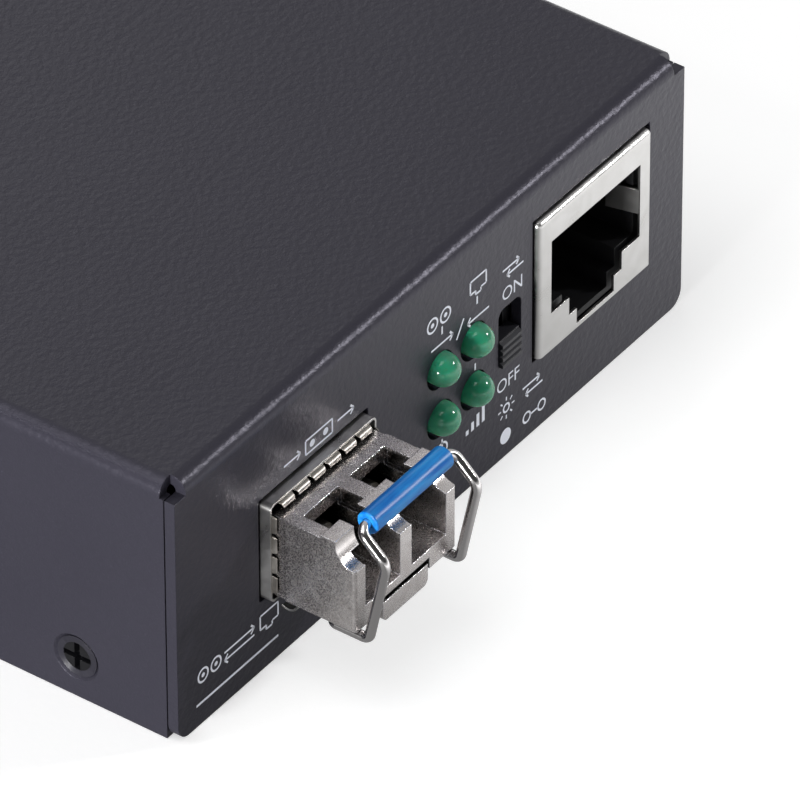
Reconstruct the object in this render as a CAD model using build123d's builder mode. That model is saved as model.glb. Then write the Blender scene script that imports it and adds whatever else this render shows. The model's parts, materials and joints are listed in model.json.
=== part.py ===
from build123d import *
import os
from math import acos, degrees

# Media converter with a pluggable optical module. Millimetres, +Z up, +X to the right seen from the front.
# The front panel faces -Y, and the origin lies on the underside, midway along the casing.

# Casing sheet metal
case_width = 70.0
case_depth = 94.0
case_height = 26.0
sheet = 1.0
bend_radius = 1.4
seam_gap = 0.12
corner_notch = 1.5
panel_corner_radius = 1.5
tray_clearance = 0.15
tray_flange_height = 8.0

# Places across the front: the width that the fittings don't fill is shared out between and beside them
front_fittings_width = 45.3
spare_width = case_width - front_fittings_width
left_share = 0.45263
right_share = 0.21053

# Countersunk screws in the casing's sides
screw_board_gap = 0.1
screw_setback = 10.15
screw_thread_radius = 1.25
screw_head_radius = 1.95
screw_head_sink = 0.15
screw_head_rim = 0.1
screw_point = 0.3
screw_length = 4.0
screw_cross_width = 0.55
screw_cross_length = 2.7
screw_cross_taper = 12
screw_cross_depth = 0.7
tapped_collar_radius = 1.9
tapped_collar_length = 1.3
thread_clearance = 0.05
screw_hole_clearance = 0.05

# Vent slots along the rear of both sides
vent_count = 9
vent_pitch = 3.6
vent_width = 1.6
vent_length = 9.0
vent_height = 14.5
vent_setback = 29.0

# Circuit board on standoffs
standoff_height = 5.0
standoff_radius = 2.5
board_thickness = 1.6
board_side_gap = 0.45
board_front_gap = 0.2
board_rear_gap = 1.5
board_screw_inset = 4.2
board_screw_gap = 1.0
board_screw_radius = 1.5
board_screw_head_radius = 2.6
board_screw_head_height = 1.7
board_screw_length = 4.5
board_corner_radius = 1.0

# Optical module, a die casting with two connector bays
module_half_room = 7.17
module_x = -case_width / 2 + left_share * spare_width + module_half_room
module_nose_width = 13.7
module_tail_width = 13.4
module_height = 8.5
module_overhang = 9.1
module_nose_length = 6.9
module_length = 56.5
module_shell_sheet = 0.3
shell_front_gap = 0.05
shell_seat = 0.02
module_top_step = 0.25
bay_pitch = 6.25
bay_width = 4.7
bay_depth = 12.1
bay_floor = 2.0
bay_height = 4.85
lip_height = 6.2
lip_radius = 1.95
shoulder_depth = 1.4
shoulder_reach = 1.15
window_depth = 2.75
pocket_depth = 0.4
pocket_height = 1.6
pocket_drop = 0.5
casting_edge = 0.3

# Optical barrels in the module
barrel_radius = 1.45
barrel_bore = 0.63
barrel_bore_depth = 4.5
barrel_reach = 5.6
barrel_cap_radius = 2.55
barrel_cap_step = 0.4
barrel_flange = 2.0
barrel_edge = 0.25
barrel_length = 8.0
barrel_wall = 1.5
barrel_play = 0.05

# Module board
module_board_thickness = 1.0
module_board_play = 0.1
module_tongue_width = 9.2
module_board_height = 3.4
module_board_recess = 0.6
module_wall = 0.8
module_floor = 1.0
ledge_width = 1.2

# Edge connector that the module's board enters
connector_reach = 4.0
connector_play = 0.25
connector_rise = 1.9
connector_chamfer = 0.4
tongue_play = 0.12

# Bail of bent wire with a plastic sleeve
wire_radius = 0.45
bail_half_span = 6.2
bail_pivot_setback = 2.9
bail_pivot_drop = 0.55
bail_corner_reach = 0.85
bail_knee_reach = 2.57
bail_knee_rise = 8.4
bail_bar_rise = 10.8
bail_pin_length = 1.5
bail_top_bend = 0.9
pin_play = 0.05
sleeve_radius = 1.03
sleeve_half_length = 5.2
ear_radius = 0.85
ear_width = 1.1
ear_side_gap = 0.15
ear_root = 0.2
sleeve_seat = 0.02
sleeve_edge = 0.15
bail_pin_bend = 0.585
bail_corner_bend = 0.685
bail_knee_bend = 1.26

# Rocker that lifts the locking post
rocker_width = 6.1
rocker_channel_play = 0.15
rocker_sheet = 0.5
rocker_pivot_setback = 5.6
rocker_pivot_rise = 0.35
rocker_pin_radius = 0.35
rocker_barrel_radius = 0.7
rocker_lip_drop = 1.45
rocker_lip_corner = 0.6
rocker_tail_width = 3.4
rocker_shoulder = 1.1
rocker_post_setback = 13.1
rocker_post_width = 2.4
rocker_post_depth = 1.6
rocker_post_drop = 0.7
channel_height = 1.15
channel_rear_height = 1.45
channel_end_gap = 1.6
rocker_pin_anchor = 0.9
rocker_play = 0.05
rocker_post_tip = 0.3

# Cage that takes the module
cage_sheet = 0.2
cage_play = 0.05
cage_floor_gap = 0.25
cage_head_gap = 0.4
cage_length = 47.7
cage_leg_width = 0.8
cage_leg_length = 2.6
cage_leg_inset = 5.0
cage_leg_rows = 5
cage_leg_clearance = 0.15
cage_hole_pitch = 3.6
cage_hole_rows = 8
cage_hole_columns = 3
connector_room = 6.0
cage_hole_radius = 0.9
rim_proud = 1.0
rim_board_gap = 0.1
rim_sheet = 0.2
rim_seat = 0.02
rim_cutout_gap = 0.25
rim_corner = 0.6
rim_bend = 0.35
finger_sheet = 0.2
finger_room = 1.2
finger_root = 0.2
finger_bend = 0.6
finger_setback = 0.82
finger_play = 0.04
finger_overlap = 0.3
finger_gap = 0.4
top_finger_count = 6
side_finger_count = 4
latch_half_width = 5.3
latch_slot_gap = 0.25
latch_length = 10.9
latch_curl_radius = 1.1
latch_curl_sweep = 215
latch_hole_gap = 0.15
latch_curl_reach = 0.25
latch_room = 0.6

# Network socket, with its tab side down
jack_width = 16.0
jack_x = case_width / 2 - right_share * spare_width - jack_width / 2
jack_height = 14.0
jack_depth = 17.5
jack_proud = 0.5
jack_sheet = 0.25
jack_cutout_gap = 0.3
jack_mouth_width = 12.6
jack_mouth_top = 2.7
jack_mouth_sill = 3.85
jack_step_width = 7.5
jack_step_sill = 2.05
jack_tab_width = 5.3
jack_floor = 0.6
housing_floor_step = 0.15
jack_spring_height = 2.5
jack_spring_drop = 5.4
jack_spring_length = 6.0
jack_spring_lean = 0.7
housing_recess = 0.5
housing_play = 0.05
housing_cavity_depth = 13.0
contact_count = 8
contact_pitch = 1.02
contact_radius = 0.18
peg_radius = 1.5
peg_inset = 2.3
peg_setback = 9.0
peg_clearance = 0.1
jack_spring_root = 0.1
jack_spring_room = 0.2
contact_slot_play = 0.2
contact_slot_height = 2.4
contact_drop = 3.2
contact_root = 1.2
contact_run = 7.0
contact_end = 2.2
contact_rise = 0.3
contact_bend = 0.5

# Indicator lamps
lamp_jack_distances = (21.15, 16.5)
lamp_columns = [jack_x - distance for distance in lamp_jack_distances]
lamp_row_low = 2.5
lamp_row_pitch = 5.1
lamp_radius = 1.5
lamp_hole_clearance = 0.03
lamp_hole_drop = 0.27
lamp_dome_proud = 1.8
lamp_body_length = 5.3
lamp_flange_radius = 1.9
lamp_flange_length = 1.0
lamp_lead_width = 0.5
lamp_lead_pitch = 2.54
lamp_holder_depth = 3.0
lamp_holder_width = 4.4
lamp_holder_gap = 0.4
lamp_holder_rim = 0.6
lamp_holder_play = 0.05
lamp_lead_play = 0.15
lamp_lead_row_pitch = 1.0

# Slide switch
switch_jack_distance = 11.45
switch_x = jack_x - switch_jack_distance
switch_slot_width = 3.2
switch_slot_height = 6.1
switch_slot_low = 1.9
switch_slot_radius = 0.8
switch_knob_width = 2.7
switch_knob_height = 2.7
switch_knob_proud = 0.3
switch_knob_ridges = 4
switch_knob_floor = 0.2
switch_body_width = 3.9
switch_body_height = 9.0
switch_body_depth = 4.6
switch_body_gap = 0.35
switch_stem_width = 1.35
switch_stem_height = 1.2
switch_stem_length = 2.0
switch_stem_play = 0.15
switch_knob_clearance = 0.1
switch_ridge_depth = 0.35
terminal_count = 3
terminal_width = 0.6
terminal_sheet = 0.3
terminal_pitch = 2.5
terminal_row_pitch = 1.1

# Power inlet at the rear
inlet_side_distance = 14.0
inlet_x = case_width / 2 - inlet_side_distance
inlet_width = 9.0
inlet_height = 10.8
inlet_depth = 14.0
inlet_bore_radius = 3.1
inlet_bore_depth = 9.5
inlet_axis_rise = 6.4
inlet_pin_radius = 1.0
inlet_nose_radius = 4.0
inlet_nose_length = 0.8
inlet_cutout_gap = 0.2
inlet_face_gap = 0.1
inlet_edge_radius = 1.5
inlet_pin_recess = 0.6
inlet_pin_root = 1.9
inlet_pin_seat = 0.02
inlet_spring_width = 1.6
inlet_spring_sheet = 0.25
inlet_spring_half_length = 2.5
inlet_spring_bow = 0.65

# Chips and other components
chip_size = 14.0
chip_height = 1.4
chip_lead_count = 16
transformer_length = 12.7
transformer_width = 9.4
transformer_height = 5.9
transformer_gap = 3.5
can_radius = 3.15
can_height = 7.2
coil_size = 6.0
coil_height = 4.5
crystal_length = 10.8
crystal_width = 4.6
crystal_height = 3.4
crystal_edge = 0.5
component_row_gap = 4.0
can_edge = 0.6
can_pitch = 8.5
chip_x = 2.0
chip_y = 10.0
chip_lift = 0.1
chip_edge = 0.2
chip_lead_reach = 1.0
chip_lead_sheet = 0.25
chip_lead_margin = 0.75
small_part_length = 1.6
small_part_width = 0.8
small_part_height = 0.7
small_part_pitch = 2.6
regulator_width = 6.5
regulator_length = 6.0
regulator_height = 2.3
regulator_tab = 5.2
regulator_lead = 0.7
regulator_lead_pitch = 2.3
regulator_lead_reach = 2.2
regulator_lead_sheet = 0.5
transformer_edge = 0.3

os.makedirs("parts", exist_ok=True)

# Levels and planes that several pieces share
front_y = -case_depth / 2
rear_y = case_depth / 2
board_bottom = sheet + standoff_height
board_top = board_bottom + board_thickness
screw_z = board_bottom - screw_board_gap - tapped_collar_radius
dimple_radius = screw_head_radius + screw_head_sink + screw_head_rim + screw_hole_clearance
module_bottom = board_top + cage_floor_gap + cage_sheet
module_top = module_bottom + module_height
module_front = front_y - module_overhang
module_rear = module_front + module_length
nose_rear = module_front + module_nose_length
notch_centre_z = module_bottom + lip_height + lip_radius
shoulder_front = module_front + lip_radius
window_front = shoulder_front + shoulder_depth
window_rear = window_front + window_depth
bay_roof = module_bottom + bay_floor + bay_height
cage_half_width = module_tail_width / 2 + cage_play + cage_sheet
cage_top = module_top + cage_head_gap + cage_sheet
cage_front = front_y - rim_proud + finger_room
cage_rear = cage_front + cage_length
jack_bottom = board_top
jack_front = front_y - jack_proud
jack_rear = jack_front + jack_depth
peg_places = [(jack_x + side * (jack_width / 2 - peg_inset), jack_front + peg_setback) for side in (-1, 1)]
inlet_axis_z = board_top + inlet_axis_rise
inlet_face = rear_y - sheet - inlet_face_gap
nose_face = inlet_face + inlet_face_gap + inlet_nose_length
switch_slot_z = board_top + switch_slot_low + switch_slot_height / 2
pivot_y = module_front + bail_pivot_setback
pivot_z = module_bottom - bail_pivot_drop
rocker_y = module_front + rocker_pivot_setback
rocker_z = module_bottom + rocker_pivot_rise
channel_half_width = rocker_width / 2 + rocker_channel_play
rocker_pin_half_length = channel_half_width + rocker_pin_anchor
post_y = module_front + rocker_post_setback
post_half_depth = rocker_post_depth / 2
nose_half = module_nose_width / 2
tail_half = module_tail_width / 2
tail_side = tail_half - module_shell_sheet
tail_top = module_top - module_shell_sheet
cavity_half = tail_side - module_wall
bay_xs = [module_x + side * bay_pitch / 2 for side in (-1, 1)]
bay_axis_z = module_bottom + bay_floor + bay_height / 2
board_bed = module_bottom + module_board_height
barrel_seat_y = module_front + bay_depth + barrel_wall
barrel_end = barrel_seat_y + barrel_length + 2 * barrel_play
connector_front = module_rear - connector_reach

front_plane = Plane(origin=(0, front_y, 0), x_dir=(1, 0, 0), z_dir=(0, -1, 0))
rear_plane = Plane(origin=(0, rear_y, 0), x_dir=(-1, 0, 0), z_dir=(0, 1, 0))
left_plane = Plane(origin=(-case_width / 2, 0, 0), x_dir=(0, -1, 0), z_dir=(-1, 0, 0))
right_plane = Plane(origin=(case_width / 2, 0, 0), x_dir=(0, 1, 0), z_dir=(1, 0, 0))


def span_box(x_span, y_span, z_span, mode=Mode.ADD):
    """Adds or cuts a block between two coordinates on each axis."""
    size = [span[1] - span[0] for span in (x_span, y_span, z_span)]
    middle = [(span[1] + span[0]) / 2 for span in (x_span, y_span, z_span)]
    with Locations(tuple(middle)):
        Box(*size, mode=mode)


def across(half_width, centre=0.0):
    """Gives the span of a piece that is centred on one coordinate."""
    return (centre - half_width, centre + half_width)


def side_screw_places(sink=0.0):
    """Gives the four screw places in the casing's sides, seen from outside, sunk by a distance."""
    reach = case_depth / 2 - screw_setback
    places = []
    for plane in (left_plane, right_plane):
        for along in (-reach, reach):
            places.append(plane.offset(-sink).location * Location((along, screw_z, 0)))
    return places


def save(name, part):
    """Labels a finished piece and writes it."""
    part.label = name
    export_step(part, f"parts/{name}.step")


# Outline of the network socket's mouth, as half widths and heights above the board
mouth_top = jack_height - jack_mouth_top
mouth_steps = [
    (jack_mouth_width / 2, mouth_top),
    (jack_mouth_width / 2, jack_mouth_sill),
    (jack_step_width / 2, jack_mouth_sill),
    (jack_step_width / 2, jack_step_sill),
    (jack_tab_width / 2, jack_step_sill),
]


def mouth_outline(floor, slack=0.0):
    """Gives the mouth's corner points on the front plane, down to a floor above the board."""
    right = [(jack_x + half + slack, jack_bottom + height) for half, height in mouth_steps]
    left = [(jack_x - half - slack, jack_bottom + height) for half, height in reversed(mouth_steps)]
    low = jack_bottom + floor
    corner = jack_tab_width / 2 + slack
    return right + [(jack_x + corner, low), (jack_x - corner, low)] + left


# Folded cover: top, both sides and the front panel, with notches where three bends meet
with BuildPart() as top_cover:
    with BuildSketch(Plane.XY):
        Rectangle(case_width, case_depth)
    extrude(amount=case_height)
    rim_edges = top_cover.faces().sort_by(Axis.Z)[-1].edges()
    fillet(rim_edges.sort_by(Axis.Y)[:-1], bend_radius)
    open_faces = [top_cover.faces().sort_by(Axis.Z)[0], top_cover.faces().sort_by(Axis.Y)[-1]]
    offset(amount=-sheet, openings=open_faces)
    seam_y = front_y + sheet
    for side in (-1, 1):
        outer = side * case_width / 2
        inner = side * (case_width / 2 - sheet)
        seam_high = case_height - bend_radius
        span_box(sorted((outer, inner)), (seam_y, seam_y + seam_gap), (0, seam_high), Mode.SUBTRACT)
        with Locations((outer, front_y, case_height)):
            Box(2 * corner_notch, 2 * corner_notch, 2 * corner_notch, mode=Mode.SUBTRACT)
    panel_corners = top_cover.edges().filter_by(Axis.Y).group_by(Axis.Z)[0].sort_by(Axis.Y)
    front_corners = [edge for edge in panel_corners if edge.center().Y < seam_y]
    fillet(front_corners, panel_corner_radius)
    # Cut-outs of the front panel
    with BuildSketch(front_plane):
        rim_half = cage_half_width + rim_seat + rim_sheet + rim_cutout_gap
        rim_low = board_top - rim_seat - rim_sheet - rim_cutout_gap
        rim_high = cage_top + rim_seat + rim_sheet + rim_cutout_gap
        with Locations((module_x, (rim_low + rim_high) / 2)):
            RectangleRounded(2 * rim_half, rim_high - rim_low, rim_cutout_gap)
        with Locations((jack_x, jack_bottom + jack_height / 2)):
            Rectangle(jack_width + 2 * jack_cutout_gap, jack_height + 2 * jack_cutout_gap)
        with Locations((switch_x, switch_slot_z)):
            RectangleRounded(switch_slot_width, switch_slot_height, switch_slot_radius)
        for column in lamp_columns:
            for row in range(2):
                lamp_z = board_top + lamp_row_low + row * lamp_row_pitch - lamp_hole_drop
                with Locations((column, lamp_z)):
                    Circle(lamp_radius + lamp_hole_drop + lamp_hole_clearance)
    extrude(amount=-sheet, mode=Mode.SUBTRACT)
    # Dimpled screw holes in the sides
    with Locations(*side_screw_places()):
        hole_radius = screw_thread_radius + screw_hole_clearance
        CounterSinkHole(hole_radius, dimple_radius, depth=sheet, counter_sink_angle=90)
    # Vent slots
    vent_middle = rear_y - vent_setback
    for plane, direction in ((left_plane, -1), (right_plane, 1)):
        with BuildSketch(plane):
            with Locations((direction * vent_middle, vent_height)):
                with GridLocations(vent_pitch, 0, vent_count, 1):
                    SlotOverall(vent_length, vent_width, rotation=90)
        extrude(amount=-sheet, mode=Mode.SUBTRACT)
save("top_cover", top_cover.part)

# Tray: underside, low side flanges and the rear panel
tray_half_width = case_width / 2 - sheet - tray_clearance
tray_front = front_y + sheet + tray_clearance
tray_top = case_height - sheet - tray_clearance
with BuildPart() as base_tray:
    span_box(across(tray_half_width), (tray_front, rear_y), (0, tray_top))
    low_edges = base_tray.faces().sort_by(Axis.Z)[0].edges()
    fillet(low_edges.sort_by(Axis.Y)[1:], bend_radius)
    open_faces = [base_tray.faces().sort_by(Axis.Z)[-1], base_tray.faces().sort_by(Axis.Y)[0]]
    offset(amount=-sheet, openings=open_faces)
    flange_rear = rear_y - sheet - seam_gap
    flange_span = (tray_front - sheet, flange_rear)
    span_box(across(case_width), flange_span, (tray_flange_height, case_height), Mode.SUBTRACT)
    for side in (-1, 1):
        outer = side * case_width / 2
        inner = side * (tray_half_width - sheet)
        corner_span = (flange_rear, rear_y - sheet)
        span_box(sorted((outer, inner)), corner_span, (bend_radius, case_height), Mode.SUBTRACT)
    wall_gap = sheet + tray_clearance
    with Locations(*side_screw_places(wall_gap + sheet + tapped_collar_length / 2)):
        Cylinder(tapped_collar_radius, tapped_collar_length)
    with Locations(*side_screw_places(wall_gap)):
        Hole(screw_thread_radius + thread_clearance, depth=sheet + tapped_collar_length)
    with BuildSketch(rear_plane):
        with Locations((-inlet_x, inlet_axis_z)):
            Circle(inlet_nose_radius + inlet_cutout_gap)
    extrude(amount=-sheet, mode=Mode.SUBTRACT)
save("base_tray", base_tray.part)

# Countersunk screw, drawn once on the origin with its head's flat face up
with BuildPart() as side_screw:
    head_height = screw_head_radius - screw_thread_radius
    with BuildSketch(Plane.XZ):
        with BuildLine():
            Polyline(
                (0, 0),
                (screw_head_radius, 0),
                (screw_head_radius, -screw_head_rim),
                (screw_thread_radius, -screw_head_rim - head_height),
                (screw_thread_radius, -screw_length + screw_point),
                (screw_thread_radius - screw_point, -screw_length),
                (0, -screw_length),
                close=True,
            )
        make_face()
    revolve(axis=Axis.Z)
    with BuildSketch(Plane.XY):
        Rectangle(screw_cross_length, screw_cross_width)
        Rectangle(screw_cross_width, screw_cross_length)
    extrude(amount=-screw_cross_depth, taper=screw_cross_taper, mode=Mode.SUBTRACT)

with BuildPart() as case_screws:
    with Locations(*side_screw_places(screw_head_sink)):
        add(side_screw.part)
save("case_screws", case_screws.part)

# Board outline and its four fixing places
board_half_width = tray_half_width - sheet - board_side_gap
board_front = front_y + sheet + board_front_gap
board_rear = rear_y - sheet - board_rear_gap
rim_depth = board_front - rim_board_gap - front_y + rim_proud
transformer_y = jack_rear + transformer_gap + transformer_width / 2
transformer_rear = transformer_y + transformer_width / 2
board_screw_x = board_half_width - board_screw_inset
board_screw_places = [
    (-board_screw_x, cage_rear + board_screw_gap + board_screw_head_radius),
    (board_screw_x, transformer_rear + board_screw_gap + board_screw_head_radius),
    (-board_screw_x, board_rear - board_screw_inset),
    (board_screw_x, inlet_face - inlet_depth - board_screw_gap - board_screw_head_radius),
]

with BuildPart() as standoffs:
    with BuildSketch(Plane.XY.offset(sheet)):
        with Locations(*board_screw_places):
            Circle(standoff_radius)
            Circle(board_screw_radius, mode=Mode.SUBTRACT)
    extrude(amount=standoff_height)
save("standoffs", standoffs.part)

with BuildPart() as board_screws:
    with BuildSketch(Plane.XY.offset(board_top)):
        with Locations(*board_screw_places):
            Circle(board_screw_head_radius)
    extrude(amount=board_screw_head_height)
    fillet(board_screws.faces().group_by(Axis.Z)[-1].edges(), board_screw_head_height / 3)
    with BuildSketch(Plane.XY.offset(board_top + board_screw_head_height)):
        with Locations(*board_screw_places):
            Rectangle(screw_cross_length, screw_cross_width)
            Rectangle(screw_cross_width, screw_cross_length)
    extrude(amount=-screw_cross_depth, mode=Mode.SUBTRACT)
    with BuildSketch(Plane.XY.offset(board_top - board_screw_length)):
        with Locations(*board_screw_places):
            Circle(board_screw_radius - thread_clearance)
    extrude(amount=board_screw_length)
save("board_screws", board_screws.part)

# Legs of the module's cage, on both sides of the board
leg_pitch = (cage_length - 2 * cage_leg_inset - latch_length) / (cage_leg_rows - 1)
leg_first = board_front + latch_length
leg_places = []
for row in range(cage_leg_rows):
    for side in (-1, 1):
        leg_x = module_x + side * (cage_half_width - cage_sheet / 2)
        leg_places.append((leg_x, leg_first + row * leg_pitch))

with BuildPart() as circuit_board:
    with BuildSketch(Plane.XY.offset(board_bottom)):
        board_middle = (board_front + board_rear) / 2
        with Locations((0, board_middle)):
            RectangleRounded(2 * board_half_width, board_rear - board_front, board_corner_radius)
        with Locations(*board_screw_places):
            Circle(board_screw_radius, mode=Mode.SUBTRACT)
        with Locations(*leg_places):
            Circle(cage_leg_width / 2 + cage_leg_clearance, mode=Mode.SUBTRACT)
        with Locations(*peg_places):
            Circle(peg_radius + peg_clearance, mode=Mode.SUBTRACT)
        # Room for the cage's locking spring to bend down
        notch_depth = 2 * (cage_front + latch_length + latch_room - board_front)
        with Locations((module_x, board_front)):
            Rectangle(2 * (latch_half_width + latch_room), notch_depth, mode=Mode.SUBTRACT)
    extrude(amount=board_thickness)
save("circuit_board", circuit_board.part)

# Network socket: folded metal shield
jack_plane = Plane(origin=(0, jack_front, 0), x_dir=(1, 0, 0), z_dir=(0, -1, 0))
with BuildPart() as rj45_shield:
    jack_top = jack_bottom + jack_height
    span_box(across(jack_width / 2, jack_x), (jack_front, jack_rear), (jack_bottom, jack_top))
    fold_edges = rj45_shield.edges().filter_by(Axis.Z) + rj45_shield.faces().sort_by(Axis.Z)[-1].edges()
    fillet(fold_edges, 2 * jack_sheet)
    offset(amount=-jack_sheet, openings=[rj45_shield.faces().sort_by(Axis.Z)[0]])
    with BuildSketch(jack_plane):
        with BuildLine():
            Polyline(*mouth_outline(jack_floor - housing_floor_step), close=True)
        make_face()
    extrude(amount=-2 * jack_sheet, mode=Mode.SUBTRACT)
    # Side springs that press on the plug
    spring_high = jack_bottom + jack_height - jack_spring_drop
    for side in (-1, 1):
        edge_x = jack_x + side * jack_mouth_width / 2
        with BuildSketch(Plane.XY.offset(spring_high - jack_spring_height)):
            with BuildLine():
                Polyline(
                    (edge_x + side * jack_sheet, jack_front + jack_sheet / 2),
                    (edge_x, jack_front + jack_sheet / 2),
                    (edge_x - side * jack_spring_lean, jack_front + jack_spring_length / 2),
                    (edge_x + side * jack_spring_root, jack_front + jack_spring_length),
                    (edge_x + side * (jack_spring_root + jack_sheet), jack_front + jack_spring_length),
                    (edge_x + side * (jack_sheet - jack_spring_lean), jack_front + jack_spring_length / 2),
                    close=True,
                )
            make_face()
        extrude(amount=jack_spring_height)
save("rj45_shield", rj45_shield.part)

# Network socket: moulded housing with the cavity for a plug
housing_front = jack_front + jack_sheet + housing_recess
housing_half = jack_width / 2 - jack_sheet - housing_play
housing_top = jack_bottom + jack_height - jack_sheet - housing_play
housing_plane = Plane(origin=(0, housing_front, 0), x_dir=(1, 0, 0), z_dir=(0, -1, 0))
with BuildPart() as rj45_housing:
    span_box(across(housing_half, jack_x), (housing_front, jack_rear - jack_sheet - housing_play),
             (jack_bottom, housing_top))
    top_edges = rj45_housing.faces().sort_by(Axis.Z)[-1].edges()
    fillet(rj45_housing.edges().filter_by(Axis.Z) + top_edges, 2 * jack_sheet)
    with BuildSketch(housing_plane):
        with BuildLine():
            Polyline(*mouth_outline(jack_floor), close=True)
        make_face()
    extrude(amount=-housing_cavity_depth, mode=Mode.SUBTRACT)
    # Pockets behind the side springs
    pocket_half = jack_mouth_width / 2 + jack_spring_root + jack_sheet + jack_spring_room
    span_box(across(pocket_half, jack_x), (housing_front, jack_front + jack_spring_length + jack_spring_room),
             across(jack_spring_height / 2 + jack_spring_room, spring_high - jack_spring_height / 2),
             Mode.SUBTRACT)
    # Slots for the contacts in the cavity's roof
    with BuildSketch(housing_plane):
        with Locations((jack_x, jack_bottom + mouth_top)):
            with GridLocations(contact_pitch, 0, contact_count, 1):
                Rectangle(2 * contact_radius + contact_slot_play, contact_slot_height)
    extrude(amount=-housing_cavity_depth, mode=Mode.SUBTRACT)
    with BuildSketch(Plane.XY.offset(jack_bottom)):
        with Locations(*peg_places):
            Circle(peg_radius)
    extrude(amount=-board_thickness)
save("rj45_housing", rj45_housing.part)

# Eight sprung contacts that slope down into the cavity
with BuildPart() as rj45_contacts:
    roof = jack_bottom + mouth_top
    root_y = housing_front + housing_cavity_depth
    slope_y = root_y - contact_root
    for index in range(contact_count):
        contact_x = jack_x + (index - (contact_count - 1) / 2) * contact_pitch
        with BuildLine() as contact_path:
            FilletPolyline(
                (contact_x, root_y, roof - contact_drop),
                (contact_x, slope_y, roof - contact_drop),
                (contact_x, slope_y - contact_run, roof + contact_rise),
                (contact_x, slope_y - contact_run - contact_end, roof + contact_rise),
                radius=contact_bend,
            )
        with BuildSketch(Plane(origin=contact_path.line @ 0, z_dir=(0, -1, 0))):
            Circle(contact_radius)
        sweep(path=contact_path.line)
save("rj45_contacts", rj45_contacts.part)

# Cage: a folded tube with legs, a rear opening below and vent holes above
with BuildPart() as sfp_cage:
    span_box(across(cage_half_width, module_x), (cage_front, cage_rear), (board_top, cage_top))
    fillet(sfp_cage.edges().filter_by(Axis.Y), 2 * cage_sheet)
    offset(amount=-cage_sheet, openings=[sfp_cage.faces().sort_by(Axis.Y)[0]])
    slot_half = latch_half_width + latch_slot_gap
    span_box(across(slot_half, module_x), (cage_front - 1, cage_front + latch_length),
             (board_top - 1, board_top + 2 * cage_sheet), Mode.SUBTRACT)
    span_box(across(cavity_half, module_x), (connector_front - connector_room, cage_rear - 2 * cage_sheet),
             (board_top - 1, board_top + 2 * cage_sheet), Mode.SUBTRACT)
    with BuildSketch(Plane.XY.offset(cage_top)):
        with Locations((module_x, (cage_front + cage_rear) / 2)):
            with GridLocations(cage_hole_pitch, cage_hole_pitch, cage_hole_columns, cage_hole_rows):
                Circle(cage_hole_radius)
    extrude(amount=-2 * cage_sheet, mode=Mode.SUBTRACT)
    with BuildSketch(Plane.XY.offset(board_top + 2 * cage_sheet)):
        with Locations(*leg_places):
            Rectangle(cage_sheet, cage_leg_width)
    extrude(amount=-cage_leg_length - 2 * cage_sheet)
save("sfp_cage", sfp_cage.part)

# Collar around the cage's mouth, with its rim and rows of grounding fingers
rim_front = front_y - rim_proud
rim_inner_half = cage_half_width + rim_seat
rim_outer_half = rim_inner_half + rim_sheet
rim_bottom = board_top - rim_seat - rim_sheet
rim_top = cage_top + rim_seat + rim_sheet
finger_inward = rim_inner_half - module_tail_width / 2 - finger_play


def bent_finger(width):
    """Makes one finger that runs forward along its X, bends inward to its Y and is centred on its Z."""
    sweep_angle = degrees(acos((finger_bend - finger_inward) / (finger_bend - finger_sheet)))
    with BuildPart() as finger:
        with BuildSketch():
            with BuildLine():
                outer = CenterArc((finger_root, finger_bend), finger_bend, -90, sweep_angle)
                inner = CenterArc((finger_root, finger_bend), finger_bend - finger_sheet, -90, sweep_angle)
                Line(outer @ 1, inner @ 1)
                Polyline(outer @ 0, (-finger_overlap, 0), (-finger_overlap, finger_sheet), inner @ 0)
            make_face()
        extrude(amount=width / 2, both=True)
    return finger.part


rim_height = rim_top - rim_bottom
finger_y = rim_front + finger_setback
top_pitch = 2 * (rim_inner_half - rim_corner) / top_finger_count
side_pitch = (rim_height - 2 * rim_corner) / side_finger_count
top_finger = bent_finger(top_pitch - finger_gap)
side_finger = bent_finger(side_pitch - finger_gap)

with BuildPart() as cage_collar:
    collar_plane = Plane(origin=(0, rim_front, 0), x_dir=(1, 0, 0), z_dir=(0, -1, 0))
    with BuildSketch(collar_plane):
        with Locations((module_x, (rim_top + rim_bottom) / 2)):
            RectangleRounded(2 * rim_outer_half, rim_height, rim_bend + rim_sheet)
            inner_height = rim_height - 2 * rim_sheet
            RectangleRounded(2 * rim_inner_half, inner_height, rim_bend, mode=Mode.SUBTRACT)
    extrude(amount=-rim_depth)
    # The lower side is open where the locking spring passes
    span_box(across(latch_half_width + latch_slot_gap, module_x), (rim_front - 1, rim_front + rim_depth + 1),
             (rim_bottom - 1, rim_bottom + 2 * rim_sheet), Mode.SUBTRACT)
    for index in range(top_finger_count):
        finger_x = module_x + (index - (top_finger_count - 1) / 2) * top_pitch
        finger_origin = (finger_x, finger_y, rim_top - rim_sheet)
        finger_plane = Plane(origin=finger_origin, x_dir=(0, -1, 0), z_dir=(1, 0, 0))
        with Locations(finger_plane.location):
            add(top_finger)
    for side in (-1, 1):
        for index in range(side_finger_count):
            finger_z = (rim_top + rim_bottom) / 2 + (index - (side_finger_count - 1) / 2) * side_pitch
            finger_origin = (module_x + side * rim_inner_half, finger_y, finger_z)
            finger_plane = Plane(origin=finger_origin, x_dir=(0, -1, 0), z_dir=(0, 0, -side))
            with Locations(finger_plane.location):
                add(side_finger)
save("cage_collar", cage_collar.part)

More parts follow.
